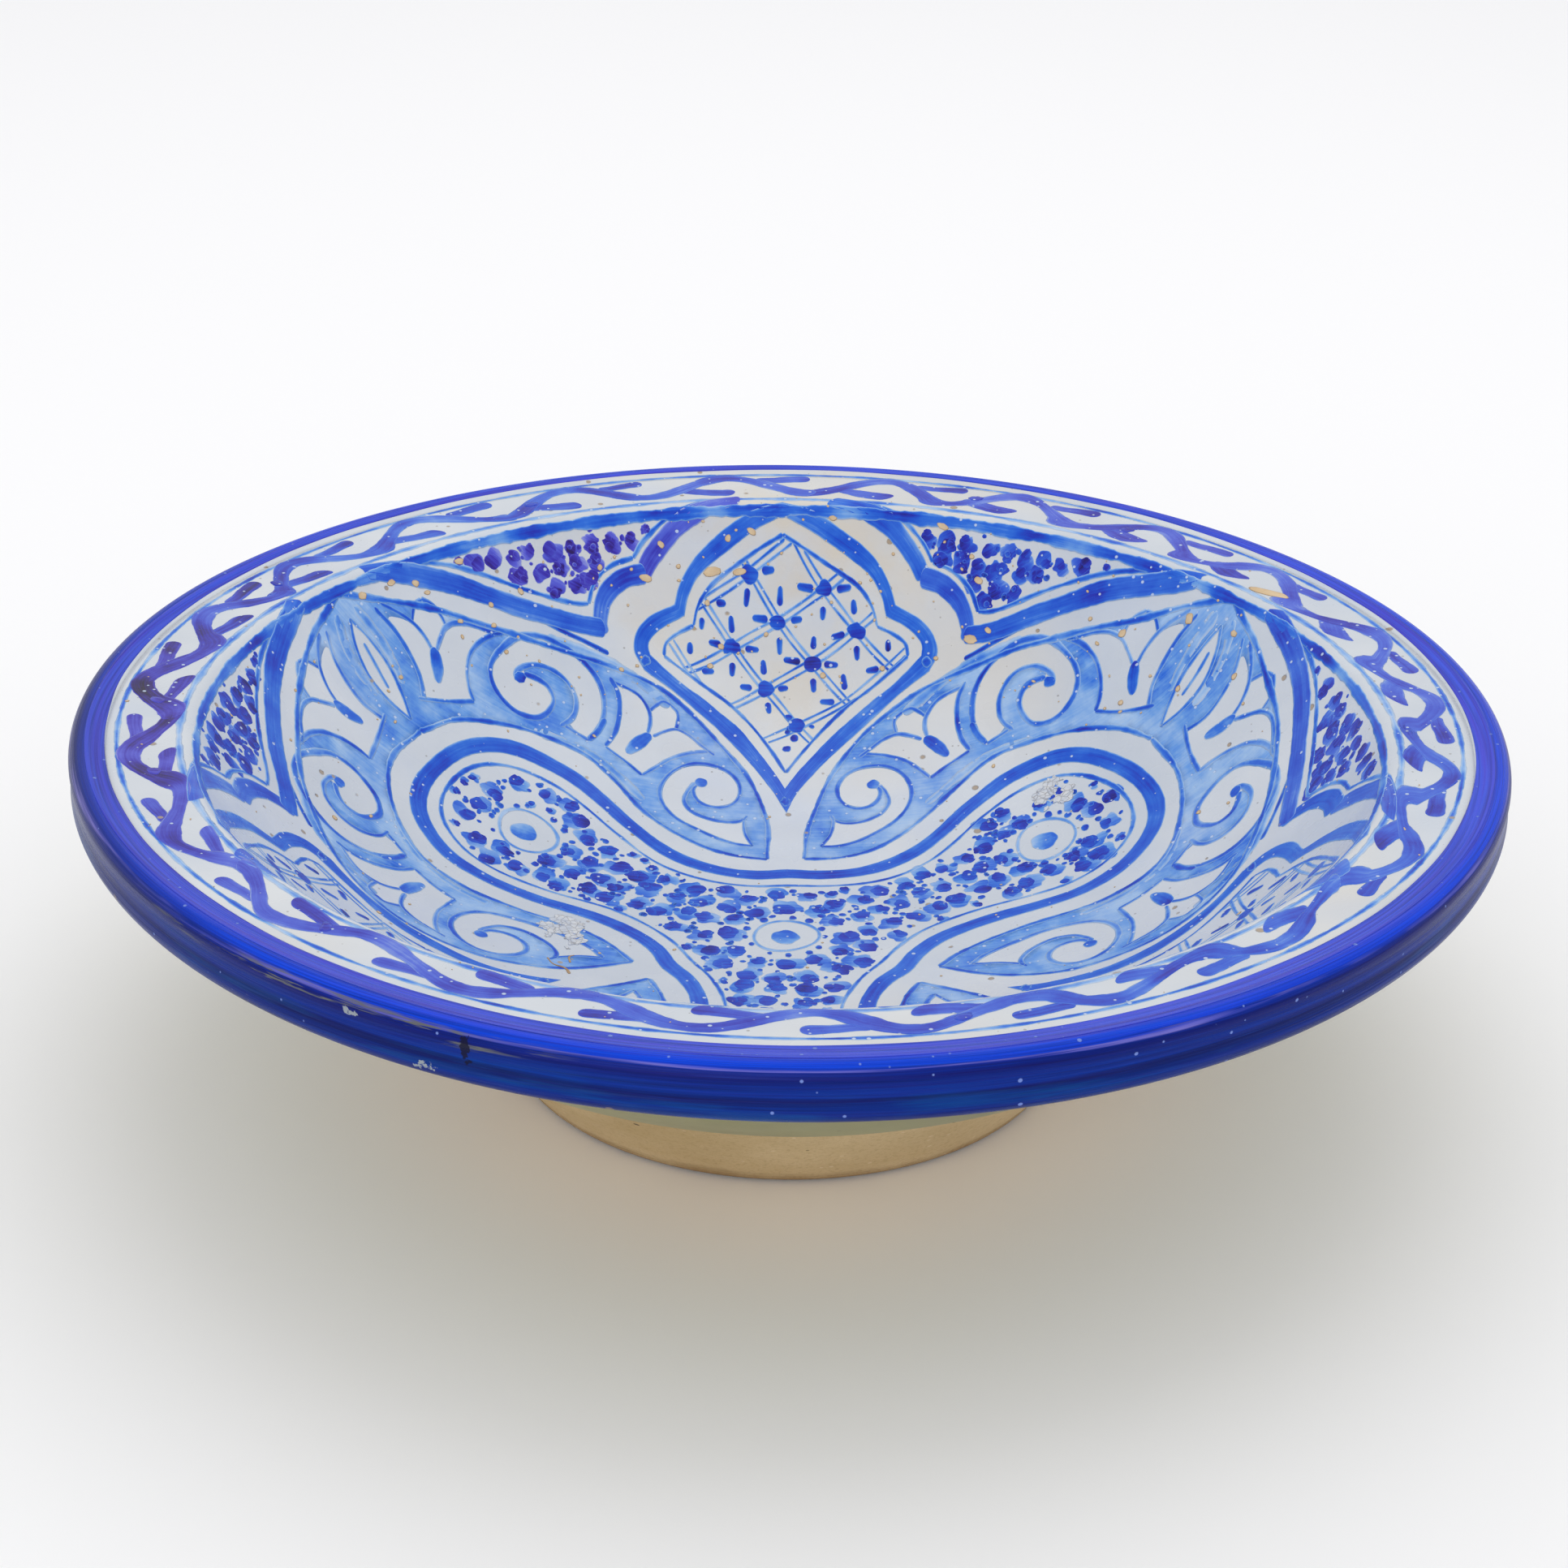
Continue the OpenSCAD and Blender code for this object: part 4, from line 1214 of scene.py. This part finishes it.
for turn in CARTOUCHE_TURNS:
    sway = shaky(frames.rng, 0.3)

    def placed(p, turn=turn, sway=sway):
        return turned(sway(np.asarray(p, float)), turn)

    outer, inner = corner_joined(FRAME_OUTER, FRAME_INNER)
    band(frames, placed(outer), placed(inner), lift=0.095, density=0.64, streak=0.1, uneven=0.03)
    for tip in ((0, 70), (42.5, 111.8), (-42.5, 111.8)):
        lean = frames.rng.uniform(0, 6)
        frames.blot(placed([tip])[0], 1.9, 0.105, (0.66, 0.82), lean, 0.8, 0, 0.2, soft=1.0)
    half = outline(FRAME_LINE)
    loop = np.concatenate([half, [(0, 145)], flipped(half)[::-1][:-1]])
    for run in FRAME_LINE:
        for side in (1, -1):
            path = placed(curve(run, step=0.9) * (side, 1))
            lattice.ribbon(path, 1.1, 0.06, 0.62, streak=0.25, uneven=0.2)
    for along_v, across_v in ((LATTICE_A, LATTICE_B), (LATTICE_B, LATTICE_A)):
        unit = along_v / np.linalg.norm(along_v)
        side = np.array([-unit[1], unit[0]])
        for k in range(-7, 8):
            for offset in (-0.85, 0.85):
                start = LATTICE_AT + k * across_v + side * (offset + lattice.rng.uniform(-0.15, 0.15))
                t = np.arange(-90, 90, 0.8)
                path = start + t[:, None] * unit + side * wave(lattice.rng, t, 0.14, 40)[:, None]
                for run in kept_runs(path, loop):
                    density = lattice.rng.uniform(0.42, 0.54)
                    lattice.ribbon(placed(run), 0.8, 0.055, density, streak=0.25, uneven=0.15)
    for i in range(-9, 10):
        for j in range(-9, 10):
            node = LATTICE_AT + i * LATTICE_A + j * LATTICE_B
            if not inside([node], [loop])[0]:
                continue
            if distance_to(node, loop) > 1.6:
                at = placed([node + sprigs.rng.normal(0, 0.3, 2)])[0]
                r = sprigs.rng.uniform(2.4, 3.0)
                sprigs.blot(at, r, 0.09, (0.74, 1.0), sprigs.rng.uniform(0, 6), 1, 0, 0.16)
            for quarter in range(4):
                heading = math.radians(90 * quarter + 90) + sprigs.rng.uniform(-0.16, 0.16)
                unit = towards(heading)
                ends = sprigs.rng.uniform(3.2, 4.2), sprigs.rng.uniform(6.8, 8.4)
                path = node + unit * np.linspace(*ends, 6)[:, None]
                if inside(path, [loop]).all() and distance_to(path[-1], loop) > 0.9 and node[1] > 99:
                    sprigs.ribbon(placed(path), np.linspace(2.2, 1.5, 6), 0.085, np.linspace(0.94, 0.7, 6))
    for _ in range(15):
        p = np.array([sprigs.rng.uniform(-9, 9), sprigs.rng.uniform(87, 102)])
        if inside([p], [loop])[0] and distance_to(p, loop) > 1.4:
            sprigs.blot(placed([p])[0], sprigs.rng.uniform(0.7, 1.5), 0.088, (0.7, 1.0), 0, 0.85,
                        sprigs.rng.uniform(0, 180))
    for side in (1, -1):
        for k, run in enumerate(CORNER_BANDS):
            path = placed(curve(run) * (side, 1))
            smudged = turn == 0 and side < 0 and k == 0
            corners.ribbon(path, 4.4, 0.094 + 0.004 * k, 0.66, streak=0.16, uneven=0.05, taper=(0.6, 0.6),
                           tone=0.6 if smudged else corners.rng.uniform(0, 0.18))
        for run in CORNER_LINES:
            path = placed(curve(run, step=1.0) * (side, 1))
            corner_lines.ribbon(path, 1.1, 0.06, 0.62, streak=0.25, uneven=0.2)
        edge = outline(CORNER_LINES)
        ends = np.degrees(np.arctan2(edge[[-1, 0], 1], edge[[-1, 0], 0]))
        rim = arc((0, 0), 149.2, ends[0] + 1, ends[1] - 1, 40)
        loop = np.concatenate([edge, rim]) * (side, 1)
        tone = 0.75 if turn == 0 and side < 0 else corner_blots.rng.uniform(0.05, 0.3)
        large = blotted(corner_blots, placed(loop), 6.4, 3.1, 1.9, dots=3, pale=0.66, dark=1.02, tone=tone)
        blotted(corner_blots, placed(loop), 4.2, 1.7, 1.0, [(p, 5.0) for p in large], 1, 0.6, 1.0, tone)
frames.piece("cartouche_bands_paint", cobalt, "cobalt_brushwork", ("cartouche_bands",))
lattice.piece("cartouche_lattice_paint", wash, "cobalt_wash")
sprigs.piece("cartouche_sprigs", cobalt, "cobalt_brushwork")
corners.piece("spandrel_bands_paint", cobalt, "cobalt_brushwork", ("spandrel_bands",))
corner_lines.piece("spandrel_lines_paint", wash, "cobalt_wash")
corner_blots.piece("spandrel_blots", cobalt, "cobalt_brushwork")


# The flange: the vine, the turned lines and the edge of the rim's glaze

def polar(degrees, r):
    a = np.radians(degrees)
    return np.stack([r * np.cos(a), r * np.sin(a)], -1)


ROUND = np.linspace(0, 360, 720, endpoint=False)
MEETING = np.clip(np.minimum(ROUND, 360 - ROUND) / 20, 0, 1)  # brings the two ends of a turned line together


def turned_line(paint, r, width, density, lift, tone=0.0, wander=0.5, follow=0.0, **how):
    """A line drawn while the wheel turns, follow mm further out on the far side."""
    a = ROUND
    drift = wave(paint.rng, a, 0.4 * wander, 360) + wave(paint.rng, a, 0.25 * wander, 120)
    radius = r + drift * MEETING + follow * np.sin(np.radians(a))
    paint.ribbon(polar(a, radius), width, lift, density, closed=True, tone=tone, **how)


vine = Paint(SEED + 12)
CRESTS = [3, 18, 36, 50, 66, 80, 97, 114, 131, 147, 161,
          177, 193, 210, 226, 245, 263, 280, 296, 312, 331, 348]
VINE_R = 160.9
VINE_SWING = 5.0


def left_side(degrees):
    return np.exp(-((degrees - 182) / 22) ** 2)


def violet_at(degrees):
    """The stroke is darker and more violet on the left of the plate."""
    return 0.34 + 0.5 * left_side(degrees) + 0.16 * math.sin(math.radians(degrees * 2))


def vine_r(degrees, share):
    """The vine's radius, share from -1 in a trough to 1 on a crest. It keeps nearer the well in front."""
    far = np.sin(np.radians(degrees))
    return VINE_R + 2.3 * far + share * (VINE_SWING + 0.8 * far)


lap = np.array([CRESTS[-1] - 360, *CRESTS, CRESTS[0] + 360, CRESTS[1] + 360], float)
for start in range(0, len(CRESTS), 2):
    low = (lap[start] + lap[start + 1]) / 2 - 1.2
    high = (lap[start + 2] + lap[start + 3]) / 2 + 1.2
    degrees = np.arange(low, high, 0.35)
    share = np.cos(2 * math.pi * np.interp(degrees, lap, np.arange(len(lap))))
    run = polar(degrees, vine_r(degrees, share) + wave(vine.rng, degrees, 0.5, 20))
    t = np.linspace(0, 1, len(run))
    width = 4.5 + wave(vine.rng, degrees, 0.7, 9) + 1.4 * left_side(degrees)
    density = 0.64 + 0.1 * t + 0.32 * left_side(degrees)
    tone = [violet_at(d) for d in np.interp([0, 0.5, 1], t, degrees)]
    vine.ribbon(run, width, 0.09 + 0.004 * (start % 4), density, tone=tone, streak=0.2, soft=0.4, rim=0.6)
for crest in CRESTS:
    rng = vine.rng
    j = rng.uniform(-0.5, 0.5, 6)
    tone = violet_at(crest)
    upper = [(-8.6 + j[0], 0.86 + 0.1 * j[1]), (-6.6, 0.74), (-4.8, 0.6), (-3.2 + j[2], 0.62)]
    lower = [(-0.7 + j[3], -0.94 + 0.1 * j[4]), (1.6, -0.84), (3.8, -0.58), (5.4 + j[5], -0.36)]
    for hook, size in ((upper, 4.1), (lower, 4.6)):
        hook = curve(np.array(hook) * (3.0, 5.6), step=1.1) / (3.0, 5.6)
        t = np.linspace(0, 1, len(hook))
        run = polar(crest + hook[:, 0], vine_r(crest + hook[:, 0], hook[:, 1]))
        width = size * (1.05 - 0.3 * t) * rng.uniform(0.9, 1.1)
        density = 0.78 - 0.08 * t + 0.2 * left_side(crest)
        vine.ribbon(run, width, 0.084, density, tone=tone, streak=0.2, soft=0.4, rim=0.6)
    if rng.uniform() < 0.45:
        at = crest + rng.uniform(3, 5)
        vine.blot(polar(np.array(at), vine_r(at, rng.uniform(-0.2, 0.4))), 2.1, 0.118, (0.76, 0.92),
                  rng.uniform(0, 6), 0.8, rng.uniform(0, 180), tone=tone, soft=1.0, rim=0.85)
vine.piece("vine_scroll_paint", cobalt, "cobalt_brushwork", ("vine_scroll",))

flange = Paint(SEED + 13)
turned_line(flange, 168.5, 1.3, 0.58, 0.05, wander=0.5, follow=2.4, streak=0.4, uneven=0.25, soft=0.5)
turned_line(flange, 153.3, 1.8, 0.4, 0.045, tone=0.05, wander=0.5, streak=0.4, uneven=0.25, soft=0.7)
flange.piece("flange_lines_paint", wash, "cobalt_wash", ("flange_outer_line", "flange_inner_ribbon"))

edge = Paint(SEED + 14)
width = 1.6 + 0.9 * np.clip(np.sin(np.radians([*ROUND, 360])), 0, 1)
turned_line(edge, 149.4, width, 0.66, 0.1, wander=0.3, streak=0.35, uneven=0.2, soft=0.35)
edge.piece("well_edge_paint", cobalt, "cobalt_brushwork", ("well_edge_line",))

rim_band = Paint(SEED + 15)
brim = 171.6 + 2.4 * np.sin(np.radians(ROUND)) + wave(rim_band.rng, ROUND, 0.16, 30) * MEETING
inner = polar(ROUND, brim)
outer = polar(ROUND, np.full_like(ROUND, PLATE_R - 4.1))
band(rim_band, outer, inner, lift=0.08, density=0.8, uneven=0, streak=0, soft=0.4)
piece = rim_band.piece("lip_band_paint", lip_blue, "cobalt_lip_glaze")
for key, level in (("run", 0.12), ("bare", 0.0)):
    layer = piece.data.attributes.new(key, "FLOAT", "POINT")
    layer.data.foreach_set("value", np.full(len(piece.data.vertices), level, np.float32))


# Wear: pits down to the clay, and patches where the glaze has flaked

pits = Paint(SEED + 16)


def pit(at, r, squash=1.0, turn=0.0):
    pits.blot(at, r, 0.135, (0.7, 1.0), pits.rng.uniform(0, 6), squash, turn, 0.14, 16, soft=0.35)


# Each pit is (x, y, radius, squash, turn), drawn in a frame that is then turned.
PITS = {
    0: [(-22.5, 136.3, 2.9, 0.5, -75), (-14, 137.2, 2.0, 0.6, -80), (-43, 131, 2.0, 0.6, 80),
        (-17.5, 143.4, 1.2, 0.8, 0), (-10, 145.3, 1.6, 0.6, 60), (-38.5, 138.8, 1.3, 0.7, 50),
        (56, 114.2, 2.1, 0.7, 60), (61.5, 114.4, 1.3, 0.6, 30), (16, 147.4, 1.3, 0.6, 80),
        (-24, 129.5, 1.0, 0.8, 0), (-6, 124, 0.8, 0.9, 0), (29, 113.5, 0.9, 0.9, 0),
        (60, 126, 1.5, 0.7, 40), (50.5, 139.6, 2.0, 0.45, 55), (-57, 129, 1.0, 0.8, 0)],
    60: [(9, 146.7, 1.6, 0.7, 80), (21, 145.7, 1.5, 0.6, 80), (31, 140.2, 1.1, 0.6, 70),
         (46, 139.8, 1.6, 0.6, 60), (36, 131.9, 1.0, 0.7, 60), (48, 129.5, 0.9, 0.9, 0),
         (45, 126.3, 1.0, 0.7, 70)],
    -60: [(-12, 143, 1.7, 0.8, 20), (6, 144.4, 1.3, 0.7, 80), (-31, 133, 1.4, 0.8, 0),
          (14, 137.5, 1.1, 0.8, 0), (-3, 131, 1.0, 0.8, 0)],
}
for turn, spots in PITS.items():
    for x, y, r, squash, lean in spots:
        pit(turned((x, y), turn), r, squash, turn + lean)
for k in range(240):
    far = k < 120
    degrees = pits.rng.normal(88, 44) if far else pits.rng.uniform(0, 360)
    r = pits.rng.uniform(112, 149) if far else math.sqrt(pits.rng.uniform(0, 1)) * 168
    size = min(1.5, pits.rng.lognormal(-0.95 if far else -1.3, 0.45))
    pit(polar(np.array(degrees), np.array(r)), size, pits.rng.uniform(0.6, 1), pits.rng.uniform(0, 180))
pit(polar(np.array(31.0), np.array(157.0)), 4.2, 0.62, 35)
for crack in ([(-52, 33.5), (-50.2, 36), (-50.6, 39.5), (-48.8, 42.5)],
              [(-46.5, 37), (-44, 39), (-42.2, 38.6)]):
    path = turned(curve(crack, step=0.7), 60)
    pits.ribbon(path, 0.5, 0.14, 0.25, soft=0.15, uneven=0.4, streak=0.3, rim=0.1)
pits.piece("glaze_pits", pit_clay, "bare_clay")

flakes = Paint(SEED + 17)
for turn, x, y, spread, count in ((60, -30.5, 49, 6.5, 26), (-60, -14, 93, 4.2, 15)):
    for _ in range(count):
        p = np.array([x, y]) + flakes.rng.normal(0, spread * 0.5, 2)
        r = flakes.rng.uniform(0.8, 2.6)
        lift = 0.14 + flakes.rng.uniform(0, 0.02)
        flakes.blot(turned(p, turn), r, lift, (0.7, 1.0), 0, flakes.rng.uniform(0.5, 1),
                    flakes.rng.uniform(0, 180), 0.42, 26, soft=0.25)
flakes.piece("glaze_flakes", flaked_glaze(), "white_glaze")


# The stage

floor_mesh = bpy.data.meshes.new("floor")
floor_mesh.from_pydata([(-6, -6, 0), (6, -6, 0), (6, 6, 0), (-6, 6, 0)], [], [(0, 1, 2, 3)])
floor = bpy.data.objects.new("floor", floor_mesh)
bpy.context.scene.collection.objects.link(floor)
floor.location.z = -0.0006
pale = Look("pale_floor")
floor_mesh.materials.append(pale.finish(srgb(250, 250, 250), 0.9))

world = bpy.data.worlds.new("soft_studio")
world.use_nodes = True
background = world.node_tree.nodes["Background"]
background.inputs["Color"].default_value = srgb(250, 250, 252)
background.inputs["Strength"].default_value = 0.9
bpy.context.scene.world = world


def area_light(name, at, aim, size, watts):
    data = bpy.data.lights.new(name, "AREA")
    data.shape = "DISK"
    data.size = size
    data.energy = watts
    lamp = bpy.data.objects.new(name, data)
    bpy.context.scene.collection.objects.link(lamp)
    lamp.location = at
    lamp.rotation_mode = "QUATERNION"
    lamp.rotation_quaternion = (Vector(aim) - Vector(at)).to_track_quat("-Z", "Y")


area_light("top_softbox", (0.1, 0.5, 1.6), (0, 0, 0.06), 1.6, 5)
area_light("front_fill", (-0.3, -1.5, 0.35), (0, 0, 0.04), 1.2, 5)

camera_data = bpy.data.cameras.new("camera")
camera_data.lens = 72.997
camera_data.sensor_width = 36
camera_data.clip_start = 0.05
camera_data.clip_end = 50
camera = bpy.data.objects.new("camera", camera_data)
bpy.context.scene.collection.objects.link(camera)
bpy.context.scene.camera = camera
tilt = 0.448
roll = 0.017
distance = 0.8187
ahead = Vector((0, math.cos(tilt), -math.sin(tilt)))
level_up = Vector((0, math.sin(tilt), math.cos(tilt)))
level_right = Vector((1, 0, 0))
right = level_right * math.cos(roll) + level_up * math.sin(roll)
up = level_up * math.cos(roll) - level_right * math.sin(roll)
aim = Vector((-1.17, 0, 73.9)) * MM
facing = Matrix((right, up, -ahead)).transposed().to_4x4()
camera.matrix_world = Matrix.Translation(aim - ahead * distance) @ facing

bpy.context.scene.view_settings.view_transform = "Standard"
bpy.context.view_layer.update()
